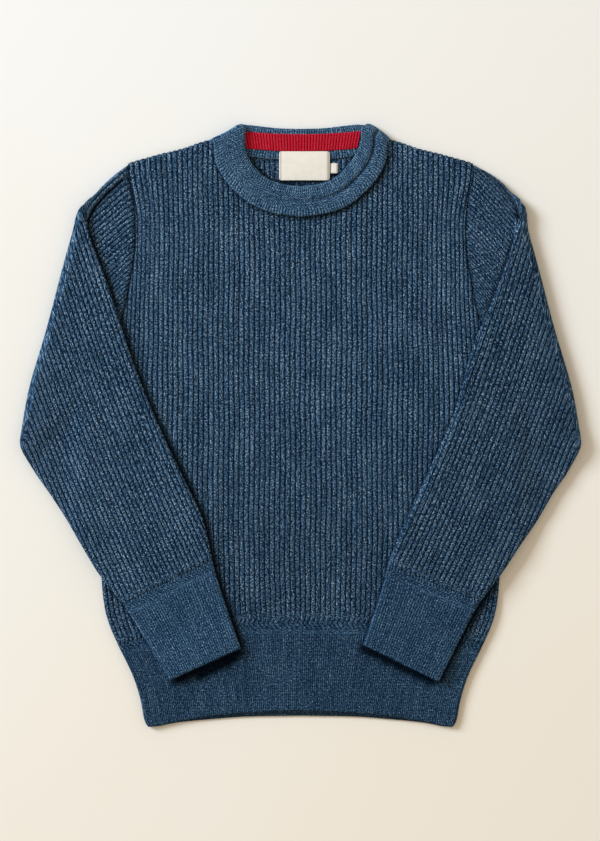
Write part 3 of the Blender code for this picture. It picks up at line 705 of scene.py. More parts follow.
# %% Front panel
BODY_EDGE = (0.9962, 0.9985, 1)
LINING_SHARES = np.linspace(-1, 1, 41)
LINING_ROWS = np.linspace(0, 1, 13)
shares, rows = across_shares(8 * BODY_RIBS, BODY_EDGE, 1), body_rows(5.2)
face, phase, relief, painted_shade = body_face(shares, rows, FRONT_NECK, 1)
lining = body_lining(LINING_SHARES, LINING_ROWS, FRONT_NECK, 1)
places = np.stack([phase * CHUNKY_PITCH, face[..., 1]], -1)
front = shell(
    "front_body_rib", face, lining, (rows, shares, LINING_ROWS, LINING_SHARES), places,
    {"rib": phase, "relief": relief, "painted_shade": painted_shade}, chunky_wool,
)
front_area = face_area(lining)
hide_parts("front_panel")
print("front panel", round(front_area, 3), "square metres of cloth")

# %% [markdown]
# The back panel lies under the front. Only a window of its inside shows, in the neck, and there its ribs
# are as strong as outside. Its underside is the same rib pressed flat by the table, so its crests all touch
# one level.

# %% Back panel
NECK_WINDOW = (92.0, 272.0, 8.0)  # half its width, its lower end and the run of its soft edge
back_shares, back_rows = across_shares(6 * BODY_RIBS, BODY_EDGE, 1), body_rows(9.0)
face, phase, relief, _ = body_face(back_shares, back_rows, BACK_NECK, -1)
half_width, window_low, fade = NECK_WINDOW
inside_rows = np.concatenate([np.linspace(0, 0.84, 8), np.linspace(0.86, 1, 48)])
inside = body_lining(back_shares, inside_rows, BACK_NECK, -1)
inside_phase = (back_shares + 1) * BODY_RIBS / 2 + 0 * inside[..., 0]
window = soft_step((half_width - np.abs(inside[..., 0])) / fade)
window = window * soft_step((inside[..., 1] - window_low) / fade)
inside[..., 2] += window * RIB_TOP * rib(inside_phase)
free_line = smooth([row[2:4] for row in BAND_FRONT])
back_line = smooth([row[:2] for row in BAND_BACK])
# Painted shadow in the neck window: under the front band's free edge, beside the back band's seam, and under the
# label and the tag.
window_shades = (
    (mirrored_line(free_line, 1), 2.2, 0.7),
    (mirrored_line(free_line, -1), 3.6, 0.9),
    (mirrored_line(back_line, 1), 1.8, 0.85),
    (mirrored_line(back_line, -1), 1.8, 0.85),
    (((-24.0, 295.5), (34.0, 295.5), (37.0, 303.0), (46.0, 303.5)), 3.0, 0.97),
)
window_painted_shade = shaded(inside[..., 0], inside[..., 1], window_shades) * window
corners = shell_triangles(
    face.shape[:2], inside.shape[:2], back_rows, back_shares, inside_rows, back_shares, False
)
both = [np.stack([grid_phase * CHUNKY_PITCH, grid[..., 1]], -1).reshape(-1, 2)
        for grid, grid_phase in ((face, phase), (inside, inside_phase))]
back = make_piece(
    "back_body_rib", np.concatenate([face.reshape(-1, 3), inside.reshape(-1, 3)]), corners,
    np.concatenate(both),
    {
        "rib": np.concatenate([phase.ravel(), inside_phase.ravel()]),
        "relief": np.concatenate([relief.ravel(), np.ones(inside_phase.size)]),
        "painted_shade": np.concatenate([0 * relief.ravel(), window_painted_shade.ravel()]),
    },
    chunky_wool,
)
back_area = face_area(body_lining(LINING_SHARES, LINING_ROWS, BACK_NECK, -1))
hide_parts("back_panel")

# %% [markdown]
# ## Hem
#
# The hem is a deep welt in a fine 1 by 1 rib, 164 ridges across, picked up from the body. The pick-up row
# shows as a band of herringbone: the body's ribs lean one way into it and the hem's first stitches lean
# back. Its lower edge is a soft roll, and the back hem hangs a few millimetres below the front one in the
# middle.

# %% Driving sizes of the hem
HEM_RIBS = 164
HEM_TOP, HEM_BOTTOM = 0.5, -0.25
HEM_FRONT = (  # across, along
    (0.0, -339.0),
    (74.0, -343.0),
    (113.0, -347.5),
    (143.0, -352.5),
    (168.0, -358.0),
    (180.0, -359.5),
)
HEM_BACK = (  # across, along
    (0.0, -346.0),
    (60.0, -347.0),
    (96.0, -349.5),
    (143.0, -354.0),
    (168.0, -358.5),
    (180.0, -359.5),
)
HAIRLINE = 0.05  # keeps the hem from touching the panel above it
# Painted falloff of the light over the hem, and painted shade on the back hem's inside, in the gap under the
# front hem.
HEM_PAINTED_FALLOFF, HEM_GAP_PAINTED_SHADE = 0.3, 0.6
HEM_LENGTH, HEM_EDGE = 108.0, 2.2  # the edge is the length of the roll at the bottom
HEM_ROUND, HEM_LIP, PRESSED_HEM = 1.8, 0.5, 0.5  # fall of the roll, opening of the lining, depth of flat ribs
STROKE_FADE, WELT_START = 2.5, 3.0  # lengths over which the strokes fade and the fine ribs begin
STROKE_HEIGHT = 1.7


def slanted_rows(length, step, edge):
    """Shares down a welt of this length: close together in the slanted stitches, a step apart below them,
    and fine in the rolled lower edge."""
    fine_stop = STROKE_PAST + STROKE_BELOW + 2
    slanted = np.arange(0, fine_stop, FINE_STEP)
    plain = np.arange(fine_stop + step, length - edge - 1, step)
    rolled = length - edge * np.array([1, 0.7, 0.45, 0.25, 0.1, 0.02, 0])
    return np.concatenate([slanted, plain, rolled]) / length


def welt_phase(shares, ribs, down, joined_ribs, pitch, lower_lean):
    """Phase, relief and strength of a welt at a distance down from its join: first the slanted stitches
    carry on the upper piece's, then they lean back, and then the welt's own fine ribs start."""
    past = np.maximum(down - STROKE_PAST, 0)
    slant = UPPER_LEAN * (STROKE_ABOVE + np.minimum(down, STROKE_PAST)) - lower_lean * past
    stroke = (shares + 1) * joined_ribs / 2 + slant / pitch
    own = (shares + 1) * ribs / 2 + 0 * down
    stop = STROKE_PAST + STROKE_BELOW
    in_strokes = down < stop
    fading, starting = soft_step((stop - down) / STROKE_FADE), soft_step((down - stop) / WELT_START)
    relief = np.where(in_strokes, fading, starting)
    return np.where(in_strokes, stroke, own), relief, np.where(in_strokes, STROKE_HEIGHT, 1.0)


def hem_surface(shares, rows, table, inset=0.0):
    """One face of the hem: straight down from the join to its lower edge, scaled across to the side seam."""
    bottom_curve = smooth(table)
    top = join_line(shares)[1] - HAIRLINE
    bottom = np.interp(np.abs(shares) * bottom_curve[-1, 0], bottom_curve[:, 0], bottom_curve[:, 1])
    along = top + rows[:, None] * (bottom - top)
    across = shares * (side(along) - inset)
    from_side = side(along) - np.abs(across)
    lift = (MID_HEIGHT - SEAM_GAP / 2) * quarter_round(from_side, MID_HEIGHT)
    return across, along, lift, top - along, along - bottom


def make_hem(name, node_name, table, sign, per_rib, step):
    """A hem's shell, its lower edge rounded to the middle of its own wall."""
    shares = across_shares(per_rib * HEM_RIBS, (0.996, 0.9985, 1), 2)
    rows = slanted_rows(HEM_LENGTH, step, HEM_EDGE)
    across, along, lift, down, above = hem_surface(shares, rows, table)
    phase, relief, strength = welt_phase(
        shares, HEM_RIBS, down, BODY_RIBS, CHUNKY_PITCH, LOWER_LEAN
    )
    wave = 0.5 * np.sin(across / 37 + 1.1) * soft_step(down / 30)
    wave = wave + 0.3 * np.sin(across / 16 + along / 30)
    ridge = (HEM_BOTTOM + (HEM_TOP - HEM_BOTTOM) * rib(phase)) * relief * strength
    if sign > 0:
        ridge = ridge - sunk(across, along, HEM_CREASES) * 0.7 + 0.3 * wave - 0.3
    else:
        ridge = (rib(phase) - 1) * PRESSED_HEM
    rounded = quarter_round(above, HEM_EDGE)
    flat = np.minimum(lift / (MID_HEIGHT - SEAM_GAP / 2), 1)
    outer = SEAM_GAP / 2 + lift - (1 - rounded) * HEM_ROUND * flat + ridge * rounded * flat
    face = np.stack([across, along, MID_HEIGHT + sign * outer], -1)
    plain = np.linspace(-1, 1, 31)
    ends = np.linspace(0, 1, 5)
    in_across, in_along = hem_surface(plain, ends, table, WALL)[:2]
    height = np.full(in_across.shape, MID_HEIGHT + sign * HOLLOW / 2)
    height[:, [0, -1]] = MID_HEIGHT + sign * SEAM_GAP / 2
    height[-1, 1:-1] += sign * HEM_LIP
    lining = np.stack([in_across, in_along, height], -1)
    places = np.stack([across, along], -1)
    # The front hem gets painted shadows under the sleeves and the cuffs' ends, and both hems get the painted
    # falloff.
    painted_shade = np.maximum(HEM_PAINTED_FALLOFF, shaded(across, along, SHADES)) if sign > 0 else HEM_PAINTED_FALLOFF + 0 * phase
    fields = {"rib": phase, "relief": relief, "painted_shade": painted_shade}
    inside = {"painted_shade": HEM_GAP_PAINTED_SHADE} if sign < 0 else {}
    grids = (rows, shares, ends, plain)
    piece = shell(name, face, lining, grids, places, fields, fine_wool, inside=inside)
    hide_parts(node_name)
    return piece, face_area(lining)


front_hem, front_hem_area = make_hem("front_hem_rib", "front_hem", HEM_FRONT, 1, 6, 3.4)
back_hem, back_hem_area = make_hem("back_hem_rib", "back_hem", HEM_BACK, -1, 4, 5.0)

# %% [markdown]
# ## Sleeves
#
# A sleeve is a flat tube sewn into the armhole. It runs out a little way beside the body, turns back over
# itself along a slanting crease and lies across the front, so the wall that was underneath comes out on
# top. Its ribs are straight in the cloth. They leave the armhole at a slant, pass round the crease and run
# on along the inner edge, and the ones at the outer edge are cut off as the sleeve narrows.
#
# The surface is a section carried along a path: a line from the upper edge to the under edge, both walls of
# the tube about it, and a turn about the crease. The ribs aren't the grid's own lines here. Their phase is
# worked out at each point as the distance from the inner edge, square to the ribs.

# %% Driving sizes of the sleeves
LEFT_PITCH, RIGHT_PITCH = 5.5, 5.9
# The head's ribs: places down the armhole, their slopes there in degrees, and their pitch.
LEFT_HEAD_RIBS = ((68.0, 120.0, 200.0, 260.0, 315.0), (59.0, 55.0, 44.0, 40.0, 43.0), 6.3)
RIGHT_HEAD_RIBS = ((68.0, 315.0), (53.0, 47.0), 5.3)
LEFT_ROLL, RIGHT_ROLL = 3.8, 8.0  # radius of the inner edge
CREASE = (  # across, along
    (256.0, 261.0),
    (264.0, 237.0),
    (277.5, 189.0),
    (296.5, 117.0),
    (317.5, 45.0),
    (328.0, -14.0),
)
CREASE_HEADING = (66.0, -271.0)
LAYER_GAP = 0.4
TURN = (2 * WALL + HOLLOW + RIB_TOP + LAYER_GAP) / 2  # radius of the turn, so that the ribs clear the part below
SAG, SAG_START, SAG_RUN = 4.5, 16.0, 30.0  # how far the cloth sinks beside the body, and where
SLEEVE_STEPS, SLEEVE_SPAN = 230, 262.0
HEAD_STEPS, FOLD_STEPS, UPPER_STEPS = 48, 13, 9
SLEEVE_LINING_STEPS, LINING_EACH = 15, 4
# Half-way down the head: upper across, upper along, under across, under along.
LEFT_HEAD = (240.0, 287.5, 285.0, 30.0)
RIGHT_HEAD = (246.4, 289.5, 285.0, 30.0)
LEFT_SLEEVE = (  # upper across, upper along, under across, under along
    (250.0, 222.0, 330.0, -32.0),
    (226.0, 158.0, 318.5, -54.0),
    (202.0, 82.0, 301.0, -79.0),
    (171.0, 5.0, 281.4, -109.0),
    (140.0, -60.0, 262.0, -142.0),
    (117.0, -110.0, 240.6, -177.0),
    (105.6, -158.4, 213.0, -211.0),
)
RIGHT_SLEEVE = (  # upper across, upper along, under across, under along
    (252.0, 215.0, 330.5, -32.0),
    (233.0, 160.0, 319.5, -55.0),
    (206.0, 95.0, 303.0, -79.0),
    (183.0, 15.0, 285.0, -110.0),
    (152.0, -55.0, 263.0, -142.0),
    (122.0, -120.0, 241.0, -175.0),
    (104.6, -164.0, 215.0, -209.0),
)
LEFT_CREASES = (  # in the same frame, mirrored with the sleeve
    (300.0, -10.0, 262.0, -44.0, 11.0, 0.9),
    (286.0, -96.0, 236.0, -84.0, 13.0, 0.7),
    (262.0, -136.0, 210.0, -122.0, 10.0, 0.8),
    (240.0, -172.0, 196.0, -168.0, 7.0, 1.1),
    (150.0, -104.0, 176.0, -136.0, 8.0, 0.8),
    (232.0, 60.0, 262.0, 6.0, 18.0, 0.6),
)
RIGHT_CREASES = (
    (304.0, -20.0, 270.0, -50.0, 12.0, 0.8),
    (276.0, -112.0, 226.0, -92.0, 12.0, 0.8),
    (246.0, -160.0, 206.0, -150.0, 9.0, 0.9),
    (142.0, -98.0, 180.0, -126.0, 10.0, 0.8),
    (250.0, 110.0, 286.0, 40.0, 16.0, 0.5),
    (196.0, 40.0, 232.0, -10.0, 15.0, 0.5),
)


# %% Plan of a sleeve
def armhole_line(shares):
    """Points at shares down the armhole's own length, moved off the body by the seam's gap."""
    curve = ARMHOLE_CURVE[::-1]
    heading = np.gradient(curve, axis=0)
    heading /= np.linalg.norm(heading, axis=1)[:, None]
    moved = curve + SEAM_GAP * np.stack([-heading[:, 1], heading[:, 0]], 1)
    at = lengths(curve)
    return np.stack([np.interp(shares * at[-1], at, moved[:, k]) for k in (0, 1)], 1)


def straight(row, shares):
    """Points at shares of a straight section, whose row holds its upper and its under end."""
    return np.outer(1 - shares, row[:2]) + np.outer(shares, row[2:4])


def on_curve(table, shares):
    """Points at shares of a smooth curve's length."""
    curve = smooth(table)
    at = lengths(curve)
    return np.stack([np.interp(shares * at[-1], at, curve[:, k]) for k in (0, 1)], 1)


def floor_sag(plan):
    """How far the sleeve sinks where neither the body nor its own upper part is beneath it."""
    run = np.array(CREASE[-1]) - np.array(UNDERARM)
    run /= np.linalg.norm(run)
    past_side = plan[..., 0] - HALF_CHEST - SAG_START
    offset = plan - np.array(UNDERARM)
    past_upper = -(run[0] * offset[..., 1] - run[1] * offset[..., 0])
    return SAG * soft_step(np.minimum(past_side, past_upper) / SAG_RUN)


def section_lines(head, table, shares):
    """The line of every section, the turn at each, and the numbers of the sections where the fold starts
    and stops. The head is the parabola through the armhole, the half-way line and the crease, and the part
    on top is a Catmull-Rom through rows."""
    start, half = armhole_line(shares), straight(head, shares)
    crease = on_curve(CREASE, shares)
    w = np.linspace(0, 1, HEAD_STEPS)[:, None, None]
    first = start * 2 * (w - 0.5) * (w - 1) - half * 4 * w * (w - 1) + crease * 2 * w * (w - 0.5)
    turn = np.linspace(0, np.pi, FOLD_STEPS)
    fold = np.repeat(crease[None], FOLD_STEPS, 0)
    upper = smooth([crease, *[straight(row, shares) for row in table]], UPPER_STEPS)
    lines = np.concatenate([first, fold[1:], upper[1:]])
    angle = np.concatenate([np.zeros(HEAD_STEPS), turn[1:], np.full(len(upper) - 1, np.pi)])
    return lines, angle, HEAD_STEPS, HEAD_STEPS + FOLD_STEPS - 1


# %% Walls of a flat tube
def around(shares_first, shares_second):
    """Shares down a section for both walls, one after the other, and which wall each belongs to."""
    share = np.concatenate([shares_first, shares_second[-2:0:-1]])
    wall = np.concatenate([np.ones(len(shares_first)), -np.ones(len(shares_second) - 2)])
    return share, wall


def wall_shares(count, length):
    """Even steps down a section of this length, with extra points in its two rolled edges."""
    even = np.linspace(0, 1, count)
    rolled = np.array([0, 0.02, 0.1, 0.25, 0.45, 0.7]) * MID_HEIGHT / length
    middle = even[(even > MID_HEIGHT / length) & (even < 1 - MID_HEIGHT / length)]
    return np.concatenate([rolled, middle, 1 - rolled[::-1]])


def span_of(lines, under):
    """Length of each section, from its upper edge to its under edge, whose number is given."""
    return np.linalg.norm(lines[:, under] - lines[:, 0], axis=-1)[:, None]


def drawn_in(lines, under):
    """Sections of a tube's lining: a wall's thickness shorter at each end than the tube's own."""
    middle = (lines[:, :1] + lines[:, under : under + 1]) / 2
    return middle + (lines - middle) * (1 - 2 * WALL / span_of(lines, under))[..., None]


def tube_piece(name, node_name, face, lining, rows_at, lining_rows_at, places, fields, material, mirror):
    """Closes a tube's two grids into a shell, mirrored for the picture's left, and measures its cloth."""
    flip = np.array([-1 if mirror else 1, 1, 1])
    face_at, lining_at = (np.linspace(0, 1, grid.shape[1], endpoint=False) for grid in (face, lining))
    shares = (rows_at, face_at, lining_rows_at, lining_at)
    piece = shell(name, face * flip, lining * flip, shares, places, fields, material, tube=True)
    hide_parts(node_name)
    return piece, face_area(np.concatenate([lining, lining[:, :1]], 1))


def turned(plan, thick, angle, sag, reach=1.0):
    """Points whose offset from the cloth's middle is thick, turned by angle about the crease: the way out
    is the turning radius plus thick times the sine and the reach, and the height falls by its cosine."""
    run = np.array(CREASE_HEADING) / np.linalg.norm(CREASE_HEADING)
    out = np.array([-run[1], run[0]])
    radius = TURN + thick
    place = plan + (radius * reach * np.sin(angle)[:, None])[..., None] * out
    height = MID_HEIGHT + TURN - radius * np.cos(angle)[:, None] - sag
    return np.concatenate([place, height[..., None]], -1)


# %% Ribs of a sleeve
def head_ribs(plan, spots, slopes, pitch):
    """Ribs of the sleeve's head, counted down the armhole. Each point is followed back to the armhole along
    its rib, whose slope depends on where it meets the armhole, so this is repeated until it settles."""
    meets = plan[..., 1]
    for _ in range(10):
        seam = np.interp(meets, ARMHOLE_CURVE[:, 1], ARMHOLE_CURVE[:, 0])
        slope = np.tan(np.radians(np.interp(meets, spots, slopes)))
        meets = plan[..., 1] + (plan[..., 0] - seam) * slope
    return (ARMHOLE[0][1] - meets) / pitch


def upper_ribs(upper, pitch):
    """Ribs of the part on top, counted from its inner edge. The edge is made even by the parabola that fits
    it best, and a point's count is its distance to the nearest straight piece of it, over the pitch."""
    bend = np.polyfit(upper[:, 0, 1], upper[:, 0, 0], 2)
    along = np.linspace(380, -420, 60)
    return beside(upper, np.stack([np.polyval(bend, along), along], 1)) / pitch


# %% [markdown]
# The head's upper edge rolls over as it nears the crease. The roll meets the rest of the head along a line
# that is given as a table, called the mark, with a groove and its shade beside it. Where the crease ends at
# the upper edge the cloth pushes out into a rounded tip, and at the elbow it bulges a little.

# %% Sleeve head's rolled edge
LEFT_MARK = (  # across and along of the line where the rolled edge meets the head, then of the inner edge
    (196.0, 313.0),
    (209.4, 301.8),
    (233.4, 280.2),
    (248.5, 262.8),
    (255.5, 249.0),
    (257.0, 239.0),
    *[row[:2] for row in LEFT_SLEEVE[:3]],
)
RIGHT_MARK = (
    (220.0, 308.0),
    (239.4, 292.0),
    (252.0, 277.5),
    (260.0, 263.0),
    (262.8, 249.0),
    (260.0, 236.0),
    (253.0, 215.0),
    (233.0, 160.0),
    (206.0, 95.0),
)
ROLL_LOW, ROLL_HIGH, ROLL_RADIUS = 1.6, 7.0, 4.5
ROLL_START, ROLL_STOP, ROLL_STOP_RUN = 0.12, 236.0, 10.0  # share of the way, then along
GROOVE_AT, GROOVE_WIDE, FOLD_LINE = -0.5, 1.4, 1.2  # beside the mark, and its depth
# Painted shade beside the mark, on the head's side: its darkness and width.
MARK_SHADE, MARK_SHADE_WIDE = 0.55, 6.0
LEFT_TIP, RIGHT_TIP = (3.6, 6.3), (8.3, 8.3)  # push across and along
TIP_START, TIP_WIDE, TIP_FADE = 0.55, 16.0, 26.0
TIP_ROUND, TIP_POWER = 22.0, 1.5  # the turn's reach is drawn in towards the tip
ELBOW_PUSH, ELBOW_RUN, ELBOW_WIDE, ELBOW_WAY = 8.0, 14.5, 16.0, (1.0, -0.1)
HOOK, HOOK_RUN = 0.35, 6.0  # ribs bend by this share of a pitch at the armhole's seam
BLEND_START = 0.75  # share of the way from the armhole where the crease's ribs begin to take over


def rolled_edge(plan, way, mark):
    """Rise of the head's rolled upper edge, and the groove and the painted shade beside it, from the distance
    outwards of the mark. The roll is a quarter circle that starts low at the shoulder and ends as high as
    the upper part where it runs into the crease."""
    outward = beside(plan, mark)
    starts = soft_step(way / ROLL_START)[:, None]
    high = (ROLL_LOW + (ROLL_HIGH - ROLL_LOW) * way**2)[:, None]
    high = high * soft_step((plan[..., 1] - ROLL_STOP) / ROLL_STOP_RUN)
    groove = bell(outward - GROOVE_AT, GROOVE_WIDE) * starts
    shade = np.where(outward < 0, MARK_SHADE * bell(outward, MARK_SHADE_WIDE), 0) * starts
    return high * starts * quarter_round(outward, ROLL_RADIUS), groove, shade, outward


def ends_pushed(lines, shares, spans, angle, fold_start, fold_stop):
    """How far the tip and the elbow are pushed out, as shares at every point: each is a bell about its
    edge, and fades with the distance from the crease."""
    numbers = np.arange(len(lines))[:, None]
    on_upper = numbers >= fold_stop
    past_fold = np.linalg.norm(lines - lines[fold_stop], axis=-1) * on_upper
    nearing = soft_step((numbers / fold_start - TIP_START) / (1 - TIP_START))
    near_fold = np.where(numbers < fold_start, nearing, bell(past_fold, TIP_FADE))
    under = np.argmax(shares)
    past_crease = np.linalg.norm(lines[:, under] - np.array(CREASE[-1]), axis=-1)[:, None]
    turning = ((1 - np.sin(angle)) * (angle > np.pi / 2))[:, None]
    after = np.where(on_upper, bell(past_crease, ELBOW_RUN), turning)
    return near_fold * bell(shares * spans, TIP_WIDE), after * bell((1 - shares) * spans, ELBOW_WIDE)


def sleeve_count(lines, outward, way, fold_start, fold_stop, ribs, pitch):
    """Ribs counted over the whole sleeve: on the part on top from its inner edge, round the crease by the
    length of the turn, and on the head down the armhole, or outwards from the mark in the roll."""
    spots, slopes, head_pitch = ribs
    count = np.zeros(lines.shape[:2])
    count[fold_stop - 1 :] = upper_ribs(lines[fold_stop - 1 :], pitch)
    fold_ribs = np.pi * (TURN + MID_HEIGHT) / pitch
    turned_ribs = np.linspace(fold_ribs, 0, fold_stop - fold_start + 1)[:, None]
    count[fold_start - 1 : fold_stop] = count[fold_stop - 1] + turned_ribs
    from_seam = np.linalg.norm(lines[:fold_start] - lines[0], axis=-1)
    head_count = head_ribs(lines[:fold_start], spots, slopes, head_pitch) - HOOK * bell(from_seam, HOOK_RUN)
    head_count = np.where(outward > 0, outward / pitch, head_count)
    blend = soft_step((way - BLEND_START) / (1 - BLEND_START))[:, None]
    count[:fold_start] = (1 - blend) * head_count + blend * count[fold_start - 1]
    return count


# %% A sleeve
SLEEVE_DENT, SLEEVE_DROP = 0.75, 0.25
# The dip at the armhole seam and its width, the painted shade in it, and the darkest painted shade on the head.
SEAM_DIP, SEAM_DIP_WIDE, SEAM_PAINTED_SHADE, DARKEST_PAINTED_SHADE = 1.3, 2.4, 0.7, 0.97
TURNED_RELIEF, ELBOW_STRETCH, HIDDEN_RIB = 0.45, 0.85, 0.35
LEFT_CLOTH = 300.0  # sets the left sleeve's flecks apart from the right's


def make_sleeve(
    name, node_name, mirror, *, head, table, creases, ribs, pitch, inner_roll, mark, dark, painted_falloff, tip_push
):
    """Both walls of a sleeve from the armhole round the crease to the cuff's join. dark is how dark the
    painted shade along and beside the mark is, and the painted falloff darkens the part on top."""
    first = wall_shares(SLEEVE_STEPS, SLEEVE_SPAN)
    shares, wall = around(first, first)
    lines, angle, fold_start, fold_stop = section_lines(head, table, shares)
    spans = span_of(lines, len(first) - 1)
    way = np.linspace(0, 1, fold_start)
    numbers = np.arange(len(lines))[:, None]
    on_head, on_upper = numbers < fold_start, numbers >= fold_stop
    flat = angle[:, None] == np.pi
    edge = quarter_round(np.minimum(shares, 1 - shares) * spans, MID_HEIGHT)
    wide_edge = np.minimum(edge, quarter_round(shares * spans, inner_roll))
    edge = np.where(on_upper & (wall > 0), wide_edge, edge)
    tip, elbow = ends_pushed(lines, shares, spans, angle, fold_start, fold_stop)
    plan = lines + tip[..., None] * np.array(tip_push)
    plan = plan + ELBOW_PUSH * elbow[..., None] * np.array(ELBOW_WAY)

    rise, groove, shade = (np.zeros(lines.shape[:2]) for _ in range(3))
    rolled = rolled_edge(plan[:fold_start], way, mark)
    rise[:fold_start], groove[:fold_start], shade[:fold_start], outward = rolled
    count = sleeve_count(lines, outward, way, fold_start, fold_stop, ribs, pitch)
    down = np.linalg.norm(lines - lines[-1], axis=-1)
    phase = count - UPPER_LEAN * np.maximum(STROKE_ABOVE - down, 0) * on_upper / pitch
    relief = edge * np.where(on_upper, above_join(down), 1)
    relief = np.where(on_head | on_upper, relief, TURNED_RELIEF * relief) * (1 - ELBOW_STRETCH * elbow)
    seam_dip = bell(np.linalg.norm(lines - lines[0], axis=-1), SEAM_DIP_WIDE) * on_head
    # Painted shade on the head, in the armhole seam and along the mark's groove and beside it; the part on top
    # gets only the painted falloff of the light.
    head_painted_shade = np.clip(SEAM_PAINTED_SHADE * seam_dip + dark * (groove + shade), 0, DARKEST_PAINTED_SHADE)
    painted_shade = np.where(on_head, head_painted_shade, painted_falloff)

    shows = np.where(on_head, wall < 0, wall > 0)
    ridge = (RIB_BOTTOM + (RIB_TOP - RIB_BOTTOM) * rib(phase)) * relief * (1 - groove)
    ridge = ridge - SLEEVE_DENT * sunk(lines[..., 0], lines[..., 1], creases) * flat - SLEEVE_DROP
    ridge = ridge - SEAM_DIP * seam_dip + rise - FOLD_LINE * groove
    ridge = np.where(shows, ridge, HIDDEN_RIB * (rib(phase) - 1)) * edge
    thick = wall * (MID_HEIGHT * edge + ridge)
    reach = quarter_round(shares * spans, TIP_ROUND) ** TIP_POWER
    face = turned(plan, thick, angle, floor_sag(lines) * flat, reach)

    lining_first = np.linspace(0, 1, SLEEVE_LINING_STEPS)
    lining_shares, lining_wall = around(lining_first, lining_first)
    in_lines = section_lines(head, table, lining_shares)[0]
    in_lines = drawn_in(in_lines, SLEEVE_LINING_STEPS - 1)
    hollow = lining_wall * HOLLOW / 2 * (np.minimum(lining_shares, 1 - lining_shares) > 0)
    in_reach = quarter_round(lining_shares * spans, TIP_ROUND) ** TIP_POWER
    keep = np.concatenate([
        np.arange(0, fold_start - 1, LINING_EACH),
        np.arange(fold_start - 1, fold_stop + 1),
        np.arange(fold_stop + LINING_EACH, len(lines) - 2, LINING_EACH),
        [len(lines) - 1],
    ])
    lining = turned(in_lines, hollow, angle, floor_sag(in_lines) * flat, in_reach)[keep]

    steps = np.linalg.norm(np.diff(lines.mean(1), axis=0), axis=-1)
    steps[fold_start - 1 : fold_stop - 1] = TURN * np.pi / (fold_stop - fold_start)
    travel = np.concatenate([[0], np.cumsum(steps)])[:, None]
    places = np.stack([phase * pitch, travel + 0 * phase + LEFT_CLOTH * mirror], -1)
    rows_at = np.linspace(0, 1, len(lines))
    fields = {"rib": phase, "relief": relief, "painted_shade": painted_shade}
    return tube_piece(
        name, node_name, face, lining, rows_at, rows_at[keep], places, fields, chunky_wool, mirror
    )


left_sleeve, left_sleeve_area = make_sleeve(
    "left_sleeve_rib", "left_sleeve", True, head=LEFT_HEAD, table=LEFT_SLEEVE, creases=LEFT_CREASES,
    ribs=LEFT_HEAD_RIBS, pitch=LEFT_PITCH, inner_roll=LEFT_ROLL, mark=LEFT_MARK, dark=0.95, painted_falloff=0.0,
    tip_push=LEFT_TIP,
)
right_sleeve, right_sleeve_area = make_sleeve(
    "right_sleeve_rib", "right_sleeve", False, head=RIGHT_HEAD, table=RIGHT_SLEEVE, creases=RIGHT_CREASES,
    ribs=RIGHT_HEAD_RIBS, pitch=RIGHT_PITCH, inner_roll=RIGHT_ROLL, mark=RIGHT_MARK, dark=0.35, painted_falloff=0.2,
    tip_push=RIGHT_TIP,
)

# %% [markdown]
# ## Cuffs
#
# A cuff is the hem's fine rib on a short flat tube, picked up from the sleeve through the same herringbone
# band. Its end is open and rounded, thick enough to throw a shadow on the hem below, which painted shadow
# there makes black.

# %% Cuffs
CUFF_RIBS = 36
CUFF_STROKES, CUFF_LEAN = 31, 0.75
CUFF_LIFT, CUFF_LIFT_RUN = 4.0, 60.0
CUFF_SPAN, CUFF_LENGTH, CUFF_EDGE, CUFF_STEP = 110.0, 104.0, 2.6, 3.2
CUFF_ROUND, CUFF_LIP, CUFF_HIDDEN = 1.7, 0.5, 0.2
CUFF_LINING_STEPS, CUFF_LINING_ROWS = 13, 3
LEFT_CUFF_CLOTH = 40.0  # sets the left cuff's flecks apart from the right's
LEFT_CUFF = (  # upper across, upper along, under across, under along
    LEFT_SLEEVE[-1],
    (97.0, -190.0, 197.0, -236.0),
    (71.4, -264.0, 156.0, -302.0),
)
RIGHT_CUFF = (
    RIGHT_SLEEVE[-1],
    (97.0, -195.0, 201.0, -234.0),
    (75.2, -260.0, 165.5, -304.0),
)


def between_lines(curve, rows):
    """Lines at shares down a stack of lines, each point straight between the two lines around it."""
    at = lengths(curve.mean(1))
    index = np.interp(rows * at[-1], at, np.arange(len(at)))
    low = np.minimum(index.astype(int), len(at) - 2)
    return curve[low] + (index - low)[:, None, None] * (curve[low + 1] - curve[low])


def cuff_sag(lines, above):
    """The sleeve's sag, less the lift of the open end, which lies on the hem's thick edge."""
    return floor_sag(lines) - CUFF_LIFT * soft_step(1 - above / CUFF_LIFT_RUN)


